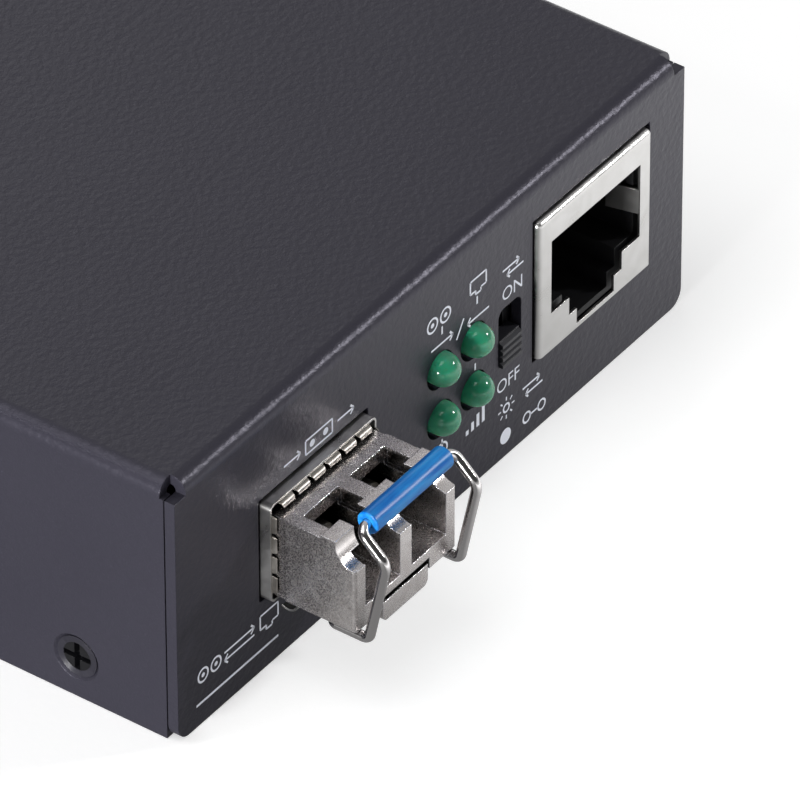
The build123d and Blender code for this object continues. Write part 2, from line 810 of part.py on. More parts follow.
# Locking spring: a tongue of the cage's floor with a hole for the post and a curled front edge
tongue_rear = cage_front + latch_length
tongue_half = latch_half_width
with BuildPart() as cage_latch_spring:
    curl_y = rim_front - latch_curl_reach
    with BuildSketch(Plane.YZ.offset(module_x - tongue_half)):
        with BuildLine():
            curl_centre = (curl_y, board_top + cage_sheet - latch_curl_radius)
            top_line = Line((tongue_rear, board_top + cage_sheet), (curl_y, board_top + cage_sheet))
            outer = CenterArc(curl_centre, latch_curl_radius, 90, latch_curl_sweep)
            inner = CenterArc(curl_centre, latch_curl_radius - cage_sheet, 90, latch_curl_sweep)
            Line(outer @ 1, inner @ 1)
            Line(inner @ 0, (tongue_rear, board_top))
            Line((tongue_rear, board_top), top_line @ 0)
        make_face()
    extrude(amount=2 * tongue_half)
    hole_half = rocker_post_width / 2 + latch_hole_gap
    span_box(across(hole_half, module_x),
             (post_y - post_half_depth - latch_hole_gap, post_y + post_half_depth + latch_hole_gap),
             (board_top - 1, board_top + 1), Mode.SUBTRACT)
save("cage_latch_spring", cage_latch_spring.part)

# Edge connector inside the cage, which takes the module's board
with BuildPart() as sfp_connector:
    connector_half = cavity_half - connector_play
    connector_top = board_bed + module_board_thickness + connector_rise
    connector_span = (connector_front, cage_rear - 2 * cage_sheet)
    span_box(across(connector_half, module_x), connector_span, (board_top, connector_top))
    chamfer(sfp_connector.faces().sort_by(Axis.Y)[0].edges().filter_by(Axis.X), connector_chamfer)
    span_box(across(module_tongue_width / 2 + tongue_play, module_x),
             (connector_front - 1, module_rear - module_board_recess + connector_play),
             (board_bed - tongue_play, board_bed + module_board_thickness + tongue_play), Mode.SUBTRACT)
save("sfp_connector", sfp_connector.part)

# Module: die casting with two bays, windows, latch shoulders and the notch for the bail
with BuildPart() as module_body:
    span_box(across(nose_half, module_x), (module_front, nose_rear), (module_bottom, module_top))
    fillet(module_body.edges().filter_by(Axis.Z).sort_by(Axis.Y)[:2], casting_edge)
    shell_start = front_y + rim_depth
    span_box(across(tail_half, module_x), (nose_rear, shell_start), (module_bottom, module_top))
    span_box(across(tail_side, module_x), (shell_start, module_rear), (module_bottom, tail_top))
    # The walls fall away to a lip in front of the shoulders
    with BuildSketch(Plane.YZ.offset(module_x - module_nose_width)):
        with Locations((module_front, notch_centre_z)):
            Circle(lip_radius)
        notch_box_top = module_top + 1
        with Locations((module_front, (notch_centre_z + notch_box_top) / 2)):
            Rectangle(2 * lip_radius, notch_box_top - notch_centre_z)
    extrude(amount=2 * module_nose_width, mode=Mode.SUBTRACT)
    # The roof behind the shoulders lies a step lower
    span_box(across(module_nose_width, module_x), (window_front, shell_start),
             (module_top - module_top_step, module_top + 1), Mode.SUBTRACT)
    for bay_x in bay_xs:
        half = bay_width / 2
        floor_z = module_bottom + bay_floor
        bay_span = (module_front - 1, module_front + bay_depth)
        span_box(across(half, bay_x), bay_span, (floor_z, bay_roof), Mode.SUBTRACT)
        span_box(across(half, bay_x), (window_front, window_rear), (floor_z, module_top + 1), Mode.SUBTRACT)
        span_box(across(half - shoulder_reach, bay_x), (module_front - 1, window_rear),
                 (floor_z, module_top + 1), Mode.SUBTRACT)
        span_box(across(half + pocket_depth, bay_x), (window_front, window_rear),
                 (bay_roof - pocket_drop, bay_roof - pocket_drop + pocket_height), Mode.SUBTRACT)
        # Bore for the optical barrel's nose and cap
        with Locations(Location((bay_x, module_front + bay_depth, bay_axis_z), (90, 0, 0))):
            Cylinder(barrel_radius + barrel_play, 2 * barrel_wall + 0.1, mode=Mode.SUBTRACT)
        with Locations(Location((bay_x, (barrel_seat_y + barrel_end) / 2, bay_axis_z), (90, 0, 0))):
            Cylinder(barrel_cap_radius + barrel_play, barrel_end - barrel_seat_y, mode=Mode.SUBTRACT)
    # Room behind the barrels for the board, open at the rear
    span_box(across(cavity_half, module_x), (barrel_end - barrel_length / 4, module_rear + 1),
             (module_bottom + module_floor, module_top), Mode.SUBTRACT)
    span_box(across(cavity_half, module_x), (connector_front - connector_play, module_rear + 1),
             (module_bottom - 1, module_bottom + 2 * module_floor), Mode.SUBTRACT)
    # Ledges that carry the board
    for side in (-1, 1):
        ledge_x = module_x + side * (cavity_half - ledge_width / 2)
        span_box(across(ledge_width / 2, ledge_x), (barrel_end, connector_front - connector_play),
                 (module_bottom + module_floor / 2, board_bed))
    # Channel for the rocker
    channel_rear = post_y + post_half_depth + channel_end_gap
    channel_step = rocker_y + 2 * rocker_barrel_radius
    span_box(across(channel_half_width, module_x), (module_front - 1, channel_rear),
             (module_bottom - 1, module_bottom + channel_height), Mode.SUBTRACT)
    span_box(across(channel_half_width, module_x), (channel_step, channel_rear),
             (module_bottom - 1, module_bottom + channel_rear_height), Mode.SUBTRACT)
    with Locations(Location((module_x, rocker_y, rocker_z), (0, 90, 0))):
        Cylinder(rocker_pin_radius + pin_play, 2 * rocker_pin_half_length + pin_play, mode=Mode.SUBTRACT)
    # Ears that hold the bail's pins
    for side in (-1, 1):
        ear_inner = bail_half_span - wire_radius - ear_side_gap - ear_width
        start = module_x + side * ear_inner
        with BuildSketch(Plane.YZ.offset(start)):
            with Locations((pivot_y, pivot_z)):
                Circle(ear_radius)
            with Locations((pivot_y, (pivot_z + module_bottom + ear_root) / 2)):
                Rectangle(2 * ear_radius, bail_pivot_drop + ear_root)
        extrude(amount=side * ear_width)
        with Locations(Location((start + side * ear_width / 2, pivot_y, pivot_z), (0, 90, 0))):
            Cylinder(wire_radius + pin_play, 2 * ear_width, mode=Mode.SUBTRACT)
save("module_body", module_body.part)

# Module: sheet cover over the casting's tail
with BuildPart() as module_shell:
    shell_front = shell_start + shell_front_gap
    with BuildSketch(Plane.XZ.offset(-shell_front)):
        with Locations((module_x, (module_bottom + module_top) / 2)):
            Rectangle(module_tail_width, module_height)
            with Locations((0, -module_shell_sheet / 2 - shell_seat / 2)):
                inner_height = module_height - module_shell_sheet + shell_seat
                Rectangle(2 * (tail_side + shell_seat), inner_height, mode=Mode.SUBTRACT)
    extrude(amount=-(module_rear - shell_front))
save("module_shell", module_shell.part)

# Module: its board, with a tongue that meets the edge connector
with BuildPart() as module_board:
    tongue_start = connector_front - connector_play
    board_start = barrel_end + module_board_play
    with BuildSketch(Plane.XY.offset(board_bed)):
        board_half = cavity_half - module_board_play
        with Locations((module_x, (board_start + tongue_start) / 2)):
            Rectangle(2 * board_half, tongue_start - board_start)
        with Locations((module_x, (tongue_start + module_rear - module_board_recess) / 2)):
            Rectangle(module_tongue_width, module_rear - module_board_recess - tongue_start)
    extrude(amount=module_board_thickness)
save("module_board", module_board.part)

# Module: light source and receiver, each a turned barrel with a cap
for name, bay_x in (("transmit_barrel", bay_xs[0]), ("receive_barrel", bay_xs[1])):
    with BuildPart() as barrel:
        mouth_y = module_front + barrel_reach
        flange_y = barrel_seat_y + barrel_play
        cap_step = barrel_cap_radius - barrel_cap_step
        with BuildSketch(Plane(origin=(bay_x, 0, bay_axis_z), x_dir=(1, 0, 0), z_dir=(0, 0, 1))):
            with BuildLine():
                Polyline(
                    (barrel_bore, mouth_y),
                    (barrel_radius - barrel_edge, mouth_y),
                    (barrel_radius, mouth_y + barrel_edge),
                    (barrel_radius, flange_y),
                    (barrel_cap_radius, flange_y),
                    (barrel_cap_radius, flange_y + barrel_flange),
                    (cap_step, flange_y + barrel_flange),
                    (cap_step, flange_y + barrel_length),
                    (0, flange_y + barrel_length),
                    (0, mouth_y + barrel_bore_depth),
                    (barrel_bore, mouth_y + barrel_bore_depth),
                    close=True,
                )
            make_face()
        revolve(axis=Axis((bay_x, 0, bay_axis_z), (0, 1, 0)))
    save(name, barrel.part)

# Bail: one bent wire from pin to pin
corner_y = module_front - bail_corner_reach
knee = (module_front - bail_knee_reach, pivot_z + bail_knee_rise)
bar = (module_front, pivot_z + bail_bar_rise)
pin_end = bail_half_span - bail_pin_length - wire_radius
side_points = [
    (pin_end, pivot_y, pivot_z),
    (bail_half_span, pivot_y, pivot_z),
    (bail_half_span, corner_y, pivot_z),
    (bail_half_span, *knee),
    (bail_half_span, *bar),
]
wire_points = [(module_x - x, y, z) for x, y, z in side_points]
wire_points += [(module_x + x, y, z) for x, y, z in reversed(side_points)]
wire_radii = [bail_pin_bend, bail_corner_bend, bail_knee_bend, bail_top_bend]
with BuildPart() as bail_wire:
    with BuildLine() as wire_path:
        FilletPolyline(*wire_points, radius=wire_radii + wire_radii[::-1])
    with BuildSketch(Plane(origin=wire_points[0], z_dir=(-1, 0, 0))):
        Circle(wire_radius)
    sweep(path=wire_path.line)
save("bail_wire", bail_wire.part)

with BuildPart() as bail_sleeve:
    with BuildSketch(Plane.YZ.offset(module_x - sleeve_half_length)):
        with Locations(bar):
            Circle(sleeve_radius)
            Circle(wire_radius + sleeve_seat, mode=Mode.SUBTRACT)
    extrude(amount=2 * sleeve_half_length)
    fillet(bail_sleeve.edges().filter_by(GeomType.CIRCLE).group_by(SortBy.RADIUS)[-1], sleeve_edge)
save("bail_sleeve", bail_sleeve.part)

# Rocker: a lever on a cross pin, with a front lip and the locking post
with BuildPart() as latch_rocker:
    half = rocker_width / 2
    arm_front = module_front + rocker_play
    arm_low = module_bottom + rocker_play
    arm_high = arm_low + rocker_sheet
    arm_rear = post_y + post_half_depth
    arm_shoulder = rocker_y + rocker_shoulder
    span_box(across(half, module_x), (arm_front, arm_shoulder), (arm_low, arm_high))
    span_box(across(rocker_tail_width / 2, module_x), (arm_shoulder, arm_rear), (arm_low, arm_high))
    with BuildSketch(Plane.YZ.offset(module_x - half)):
        with Locations((rocker_y, rocker_z)):
            Circle(rocker_barrel_radius)
    extrude(amount=rocker_width)
    lip_low = module_bottom - rocker_lip_drop
    span_box(across(half, module_x), (arm_front, arm_front + rocker_sheet), (lip_low, arm_high))
    fillet(latch_rocker.edges().filter_by(Axis.Y).group_by(Axis.Z)[0], rocker_lip_corner)
    with BuildSketch(Plane.YZ.offset(module_x - rocker_post_width / 2)):
        with BuildLine():
            Polyline(
                (post_y - post_half_depth, arm_low),
                (post_y - post_half_depth, arm_low - rocker_post_drop),
                (post_y - post_half_depth + rocker_post_tip, arm_low - rocker_post_drop),
                (post_y + post_half_depth, arm_low),
                close=True,
            )
        make_face()
    extrude(amount=rocker_post_width)
    with Locations(Location((module_x, rocker_y, rocker_z), (0, 90, 0))):
        Cylinder(rocker_pin_radius + pin_play, 2 * rocker_width, mode=Mode.SUBTRACT)
save("latch_rocker", latch_rocker.part)

with BuildPart() as rocker_pin:
    with Locations(Location((module_x, rocker_y, rocker_z), (0, 90, 0))):
        Cylinder(rocker_pin_radius, 2 * rocker_pin_half_length)
save("rocker_pin", rocker_pin.part)

# Indicator lamps, their holders and their bent leads
lamp_tip = front_y - lamp_dome_proud
lamp_flange_y = lamp_tip + lamp_body_length - lamp_flange_length
lamp_rear = lamp_flange_y + lamp_flange_length
lamp_places = []
for row in range(2):
    for column in lamp_columns:
        lamp_places.append((column, board_top + lamp_row_low + row * lamp_row_pitch))
for number, (lamp_x, lamp_z) in enumerate(lamp_places, start=1):
    with BuildPart() as lamp:
        with BuildSketch(Plane(origin=(lamp_x, 0, lamp_z), x_dir=(1, 0, 0), z_dir=(0, 0, 1))):
            with BuildLine():
                dome = CenterArc((0, lamp_tip + lamp_radius), lamp_radius, -90, 90)
                Polyline(
                    dome @ 1,
                    (lamp_radius, lamp_flange_y),
                    (lamp_flange_radius, lamp_flange_y),
                    (lamp_flange_radius, lamp_rear),
                    (0, lamp_rear),
                    dome @ 0,
                )
            make_face()
        revolve(axis=Axis((lamp_x, 0, lamp_z), (0, 1, 0)))
    save(f"lamp_{number}", lamp.part)

holder_front = front_y + sheet + lamp_holder_gap
holder_rear = lamp_rear + lamp_holder_depth
with BuildPart() as lamp_holders:
    for column in lamp_columns:
        high = lamp_places[-1][1] + lamp_flange_radius + lamp_holder_rim
        span_box(across(lamp_holder_width / 2, column), (holder_front, holder_rear), (board_top, high))
    for lamp_x, lamp_z in lamp_places:
        with Locations(Location((lamp_x, holder_front, lamp_z), (90, 0, 0))):
            seat_depth = lamp_rear - holder_front
            Cylinder(lamp_flange_radius + lamp_holder_play, 2 * seat_depth, mode=Mode.SUBTRACT)
        for side in (-1, 1):
            lead_x = lamp_x + side * lamp_lead_pitch / 2
            slot_half = lamp_lead_width / 2 + lamp_lead_play
            span_box(across(slot_half, lead_x), (lamp_rear - lamp_flange_length, holder_rear + 1),
                     across(slot_half, lamp_z), Mode.SUBTRACT)
save("lamp_holders", lamp_holders.part)

with BuildPart() as lamp_leads:
    for index, (lamp_x, lamp_z) in enumerate(lamp_places):
        row = index // len(lamp_columns)
        turn_y = holder_rear + (row + 1) * lamp_lead_row_pitch
        half_lead = lamp_lead_width / 2
        for side in (-1, 1):
            lead_x = lamp_x + side * lamp_lead_pitch / 2
            span_box(across(half_lead, lead_x), (lamp_rear, turn_y + half_lead), across(half_lead, lamp_z))
            span_box(across(half_lead, lead_x), across(half_lead, turn_y), (board_top, lamp_z))
save("lamp_leads", lamp_leads.part)

# Slide switch: fixed body behind the panel and a ridged knob in the slot
knob_low = switch_slot_z - switch_slot_height / 2 + switch_knob_floor
knob_rear = front_y + sheet + switch_body_gap
knob_travel = switch_slot_height - switch_knob_height - 2 * switch_knob_floor
with BuildPart() as switch_body:
    body_front = knob_rear
    body_low = switch_slot_z - switch_body_height / 2
    span_box(across(switch_body_width / 2, switch_x), (body_front, body_front + switch_body_depth),
             (body_low, body_low + switch_body_height))
    stem_z = knob_low + switch_knob_height / 2
    span_box(across(switch_stem_width / 2 + switch_stem_play, switch_x),
             (body_front - 1, body_front + switch_stem_length + switch_stem_play),
             across((switch_stem_height + knob_travel) / 2 + switch_stem_play, stem_z + knob_travel / 2),
             Mode.SUBTRACT)
save("switch_body", switch_body.part)

with BuildPart() as switch_terminals:
    body_rear = body_front + switch_body_depth
    for index in range(terminal_count):
        terminal_z = switch_slot_z + (index - (terminal_count - 1) / 2) * terminal_pitch
        terminal_y = body_rear + (index + 1) * terminal_row_pitch
        terminal_span = across(terminal_width / 2, switch_x)
        span_box(terminal_span, (body_rear, terminal_y), across(terminal_sheet / 2, terminal_z))
        span_box(terminal_span, (terminal_y - terminal_sheet, terminal_y), (board_top, terminal_z))
save("switch_terminals", switch_terminals.part)

with BuildPart() as switch_knob:
    knob_front = front_y - switch_knob_proud
    knob_back = knob_rear - switch_knob_clearance
    ridge_pitch = switch_knob_height / switch_knob_ridges
    valley_y = knob_front + switch_ridge_depth
    with BuildSketch(Plane.YZ.offset(switch_x - switch_knob_width / 2)):
        with BuildLine():
            points = [(knob_back, knob_low)]
            for index in range(switch_knob_ridges):
                base = knob_low + index * ridge_pitch
                points.append((knob_front, base + 0.05 * ridge_pitch))
                points.append((knob_front, base + 0.5 * ridge_pitch))
                points.append((valley_y, base + 0.75 * ridge_pitch))
            points.append((valley_y, knob_low + switch_knob_height))
            points.append((knob_back, knob_low + switch_knob_height))
            Polyline(*points, close=True)
        make_face()
    extrude(amount=switch_knob_width)
    span_box(across(switch_stem_width / 2, switch_x), (knob_back, knob_rear + switch_stem_length),
             across(switch_stem_height / 2, stem_z))
save("switch_knob", switch_knob.part)

# Power inlet: moulded body, centre pin and side spring
with BuildPart() as inlet_body:
    span_box(across(inlet_width / 2, inlet_x), (inlet_face - inlet_depth, inlet_face),
             (board_top, board_top + inlet_height))
    fillet(inlet_body.faces().sort_by(Axis.Z)[-1].edges().filter_by(Axis.Y), inlet_edge_radius)
    with Locations(Location((inlet_x, inlet_face, inlet_axis_z), (90, 0, 0))):
        Cylinder(inlet_nose_radius, 2 * (nose_face - inlet_face))
    with Locations(Location((inlet_x, nose_face, inlet_axis_z), (90, 0, 0))):
        Cylinder(inlet_bore_radius, 2 * inlet_bore_depth, mode=Mode.SUBTRACT)
    with Locations(Location((inlet_x, nose_face - inlet_bore_depth, inlet_axis_z), (90, 0, 0))):
        Cylinder(inlet_pin_radius + inlet_pin_seat, 2.1 * inlet_pin_root, mode=Mode.SUBTRACT)
save("inlet_body", inlet_body.part)

with BuildPart() as inlet_pin:
    pin_front = nose_face - inlet_pin_recess
    pin_back = nose_face - inlet_bore_depth - inlet_pin_root
    with Locations(Location((inlet_x, (pin_front + pin_back) / 2, inlet_axis_z), (90, 0, 0))):
        Cylinder(inlet_pin_radius, pin_front - pin_back)
    fillet(inlet_pin.faces().sort_by(Axis.Y)[-1].edges(), 0.7 * inlet_pin_radius)
save("inlet_pin", inlet_pin.part)

with BuildPart() as inlet_spring:
    spring_x = inlet_x - inlet_bore_radius + 2 * inlet_pin_seat
    spring_y = nose_face - inlet_bore_depth / 2
    spring_start = spring_y - inlet_spring_half_length
    spring_end = spring_y + inlet_spring_half_length
    with BuildSketch(Plane.XY.offset(inlet_axis_z - inlet_spring_width / 2)):
        with BuildLine():
            Polyline(
                (spring_x, spring_start),
                (spring_x + inlet_spring_bow, spring_y),
                (spring_x, spring_end),
                (spring_x + inlet_spring_sheet, spring_end),
                (spring_x + inlet_spring_bow + inlet_spring_sheet, spring_y),
                (spring_x + inlet_spring_sheet, spring_start),
                close=True,
            )
        make_face()
    extrude(amount=inlet_spring_width)
save("inlet_spring", inlet_spring.part)

# Main chip with leads on four sides
with BuildPart() as main_chip:
    with BuildSketch(Plane.XY.offset(board_top + chip_lift)):
        with Locations((chip_x, chip_y)):
            Rectangle(chip_size, chip_size)
    extrude(amount=chip_height)
    chamfer(main_chip.faces().sort_by(Axis.Z)[-1].edges(), chip_edge)
    with BuildSketch(Plane.XY.offset(board_top)):
        lead_pitch = (chip_size - 2 * chip_lead_margin) / chip_lead_count
        lead_span = chip_size + 2 * chip_lead_reach
        with Locations((chip_x, chip_y)):
            with GridLocations(0, lead_pitch, 1, chip_lead_count):
                Rectangle(lead_span, lead_pitch / 2)
            with GridLocations(lead_pitch, 0, chip_lead_count, 1):
                Rectangle(lead_pitch / 2, lead_span)
    extrude(amount=chip_lead_sheet)
save("main_chip", main_chip.part)

with BuildPart() as line_transformer:
    with BuildSketch(Plane.XY.offset(board_top)):
        with Locations((jack_x, transformer_y)):
            Rectangle(transformer_length, transformer_width)
    extrude(amount=transformer_height)
    chamfer(line_transformer.faces().sort_by(Axis.Z)[-1].edges(), transformer_edge)
save("line_transformer", line_transformer.part)

crystal_y = chip_y + chip_size / 2 + chip_lead_reach + component_row_gap
with BuildPart() as crystal_can:
    with BuildSketch(Plane.XY.offset(board_top)):
        with Locations((chip_x, crystal_y)):
            SlotOverall(crystal_length, crystal_width)
    extrude(amount=crystal_height)
    fillet(crystal_can.faces().sort_by(Axis.Z)[-1].edges(), crystal_edge)
save("crystal_can", crystal_can.part)

# Storage capacitors in a row that ends beside the coil
coil_x = chip_x + can_pitch / 2
can_y = crystal_y + crystal_width / 2 + component_row_gap + can_radius
with BuildPart() as capacitors:
    with BuildSketch(Plane.XY.offset(board_top)):
        with Locations(*[(coil_x - (index + 1) * can_pitch, can_y) for index in range(3)]):
            Circle(can_radius)
    extrude(amount=can_height)
    fillet(capacitors.faces().group_by(Axis.Z)[-1].edges(), can_edge)
save("capacitors", capacitors.part)

with BuildPart() as power_coil:
    with BuildSketch(Plane.XY.offset(board_top)):
        with Locations((coil_x, can_y)):
            RectangleRounded(coil_size, coil_size, coil_size / 6)
            Circle(coil_size / 5, mode=Mode.SUBTRACT)
    extrude(amount=coil_height)
save("power_coil", power_coil.part)

# Voltage regulator with its solder tab and three leads
regulator_x = -board_half_width + board_screw_inset + regulator_width / 2
regulator_y = crystal_y
with BuildPart() as regulator:
    with BuildSketch(Plane.XY.offset(board_top)):
        with Locations((regulator_x, regulator_y)):
            Rectangle(regulator_width, regulator_length)
    extrude(amount=regulator_height)
    lead_span = regulator_length + regulator_lead_reach
    with BuildSketch(Plane.XY.offset(board_top)):
        with Locations((regulator_x, regulator_y - regulator_lead_reach / 2)):
            with GridLocations(regulator_lead_pitch, 0, 3, 1):
                Rectangle(regulator_lead, lead_span)
        with Locations((regulator_x, regulator_y + regulator_lead_reach / 4)):
            Rectangle(regulator_tab, regulator_length + regulator_lead_reach / 2)
    extrude(amount=regulator_lead_sheet)
save("regulator", regulator.part)

# Small chip parts in a block before the main chip and in a column beside it
with BuildPart() as chip_parts:
    block_reach = chip_size / 2 + chip_lead_reach + component_row_gap
    with BuildSketch(Plane.XY.offset(board_top)):
        with Locations((chip_x, chip_y - block_reach)):
            with GridLocations(small_part_pitch, small_part_pitch, 6, 2):
                Rectangle(small_part_length, small_part_width)
        with Locations((chip_x + block_reach, chip_y)):
            with GridLocations(small_part_pitch, small_part_pitch, 2, 5):
                Rectangle(small_part_width, small_part_length)
    extrude(amount=small_part_height)
save("chip_parts", chip_parts.part)
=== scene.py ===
"""Looks of a fibre media converter: finishes, panel print, finger tips, studio and camera over its solids."""

import json
import logging
import math
from dataclasses import dataclass, field
from enum import Enum

import bpy
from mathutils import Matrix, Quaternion, Vector

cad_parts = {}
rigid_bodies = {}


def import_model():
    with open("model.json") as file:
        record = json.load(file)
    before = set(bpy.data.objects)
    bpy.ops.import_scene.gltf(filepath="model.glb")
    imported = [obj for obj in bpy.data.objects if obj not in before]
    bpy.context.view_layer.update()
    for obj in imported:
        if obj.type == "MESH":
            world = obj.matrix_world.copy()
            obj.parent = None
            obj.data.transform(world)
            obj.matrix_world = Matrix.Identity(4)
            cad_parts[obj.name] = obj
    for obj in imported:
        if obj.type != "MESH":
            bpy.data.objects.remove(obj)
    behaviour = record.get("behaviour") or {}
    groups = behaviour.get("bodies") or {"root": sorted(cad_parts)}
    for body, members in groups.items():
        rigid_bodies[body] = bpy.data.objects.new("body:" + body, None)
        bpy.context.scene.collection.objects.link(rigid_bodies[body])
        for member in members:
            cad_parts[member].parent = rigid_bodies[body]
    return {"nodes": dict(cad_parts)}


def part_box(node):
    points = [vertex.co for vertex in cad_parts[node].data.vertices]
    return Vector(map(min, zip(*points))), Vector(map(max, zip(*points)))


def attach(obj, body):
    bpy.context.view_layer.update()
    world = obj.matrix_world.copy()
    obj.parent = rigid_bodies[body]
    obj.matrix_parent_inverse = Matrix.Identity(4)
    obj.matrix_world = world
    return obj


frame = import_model()

log = logging.getLogger("media_converter")
MM = 0.001
FRONT_Y = -0.047  # the front panel's outer face
Socket = bpy.types.NodeSocket
Tree = bpy.types.NodeTree


class Body(Enum):
    """The bodies that new pieces ride on."""

    CHASSIS = "chassis"


class Slot(Enum):
    """Two of the record's material slots, for the print and the tin."""

    PRINT = "white_plastic"
    TIN = "tinned_steel"


def linear(colour: str) -> tuple[float, float, float, float]:
    """Turns an sRGB hex colour into the linear values that a shader takes.

    Args:
        colour: Six hex digits after a hash sign.

    Returns:
        Red, green, blue and an alpha of one.
    """
    parts = [int(colour[i:i + 2], 16) / 255 for i in (1, 3, 5)]
    parts = [p / 12.92 if p <= 0.04045 else ((p + 0.055) / 1.055) ** 2.4 for p in parts]
    return (parts[0], parts[1], parts[2], 1.0)


def add_node(tree: Tree, kind: str, inputs: dict[str | int, object] | None = None,
             **settings: object) -> bpy.types.Node:
    """Adds one node with its settings, values and links.

    Args:
        tree: The node tree that takes it.
        kind: The node's type name without the ShaderNode prefix.
        inputs: Values or sockets by input name or number.
        **settings: Properties of the node itself.

    Returns:
        The new node.
    """
    made = tree.nodes.new("ShaderNode" + kind)
    for name, value in settings.items():
        setattr(made, name, value)
    for key, value in (inputs or {}).items():
        if isinstance(value, bpy.types.NodeSocket):
            tree.links.new(value, made.inputs[key])
        else:
            made.inputs[key].default_value = value
    return made


def per_mm(size: float) -> float:
    """Gives the noise scale whose pattern repeats about every size millimetres."""
    return 1.0 / (size * MM)


@dataclass(frozen=True)
class Finish:
    """What every finish shares: a name, a colour and a gloss.

    The sizes and depths of patterns are in millimetres, and swing is how far the roughness runs either way.
    """

    name: str
    colour: str
    roughness: float = 0.5
    swing: tuple[float, float] = (0.0, 0.0)

    def material(self) -> bpy.types.Material:
        """Makes the material once and gives it back after that.

        Returns:
            The material of this finish.
        """
        made = bpy.data.materials.get(self.name)
        if made is None:
            made = bpy.data.materials.new(self.name)
            made.use_nodes = True
            made.diffuse_color = linear(self.colour)
            tree = made.node_tree
            shader = tree.nodes["Principled BSDF"]
            shader.inputs["Base Color"].default_value = linear(self.colour)
            shader.inputs["Roughness"].default_value = self.roughness
            place = add_node(tree, "TexCoord").outputs["Object"]
            self.dress(tree, shader, place)
        return made

    def dress(self, tree: Tree, shader: bpy.types.Node, place: Socket) -> None:
        """Adds the pattern of the surface; each finish gives its own."""
        raise NotImplementedError

    def vary(self, tree: Tree, shader: bpy.types.Node, factor: Socket, dark: str, light: str) -> None:
        """Lets the colour run between two tones along a pattern.

        Args:
            tree: The material's nodes.
            shader: Its shader.
            factor: The pattern, from nought to one.
            dark: The tone at nought.
            light: The tone at one.
        """
        mix = add_node(tree, "Mix", {0: factor, 6: linear(dark), 7: linear(light)}, data_type="RGBA")
        tree.links.new(mix.outputs[2], shader.inputs["Base Color"])

    def gloss(self, tree: Tree, shader: bpy.types.Node, factor: Socket) -> None:
        """Lets the roughness run along a pattern, as far as its swing.

        Args:
            tree: The material's nodes.
            shader: Its shader.
            factor: The pattern, from nought to one.
        """
        low, high = (self.roughness + change for change in self.swing)
        spread = add_node(tree, "MapRange", {"Value": factor, "To Min": low, "To Max": high})
        tree.links.new(spread.outputs[0], shader.inputs["Roughness"])

    def raise_surface(self, tree: Tree, shader: bpy.types.Node, heights: list[tuple[Socket, float]],
                      edge: float = 0.0) -> None:
        """Gives the surface its relief, over edges that are rounded a little.

        Args:
            tree: The material's nodes.
            shader: Its shader.
            heights: Each pattern with its depth in millimetres.
            edge: The radius of the rounded edges in millimetres.
        """
        normal = None
        if edge:
            normal = add_node(tree, "Bevel", {"Radius": edge * MM}, samples=4).outputs[0]
        for height, depth in heights:
            inputs = {"Height": height, "Distance": depth * MM}
            if normal is not None:
                inputs["Normal"] = normal
            normal = add_node(tree, "Bump", inputs).outputs[0]
        tree.links.new(normal, shader.inputs["Normal"])


@dataclass(frozen=True)
class PowderEnamel(Finish):
    """Black powder coat baked on folded steel: a satin film whose fine orange peel breaks up highlights."""

    swing: tuple[float, float] = (-0.06, 0.06)
    cloud: float = 14.0
    peel: float = 0.62
    peel_depth: float = 0.048
    grain: float = 0.17
    grain_depth: float = 0.012
    edge: float = 0.12
    reflection: float = 0.36
    tint: str = "#f0ecff"
    light: str = "#2c2b33"
    dark: str = "#27262e"

    def dress(self, tree: Tree, shader: bpy.types.Node, place: Socket) -> None:
        """Adds the peel, the finer grain and faint cloudiness of the film.

        Args:
            tree: The material's nodes.
            shader: Its shader.
            place: The point on the surface, in the piece's own frame.
        """
        cloud = add_node(tree, "TexNoise", {"Vector": place, "Scale": per_mm(self.cloud), "Detail": 3.0})
        peel = add_node(tree, "TexNoise", {"Vector": place, "Scale": per_mm(self.peel), "Detail": 2.0,
                                           "Roughness": 0.45})
        # The real grain is about 0.08 mm; it is drawn at twice that so that it shows.
        grain = add_node(tree, "TexNoise", {"Vector": place, "Scale": per_mm(self.grain), "Detail": 1.0})
        self.vary(tree, shader, cloud.outputs[0], self.dark, self.light)
        self.gloss(tree, shader, grain.outputs[0])
        self.raise_surface(tree, shader, [(peel.outputs[0], self.peel_depth),
                                          (grain.outputs[0], self.grain_depth)], self.edge)
        shader.inputs["Specular IOR Level"].default_value = self.reflection
        shader.inputs["Specular Tint"].default_value = linear(self.tint)


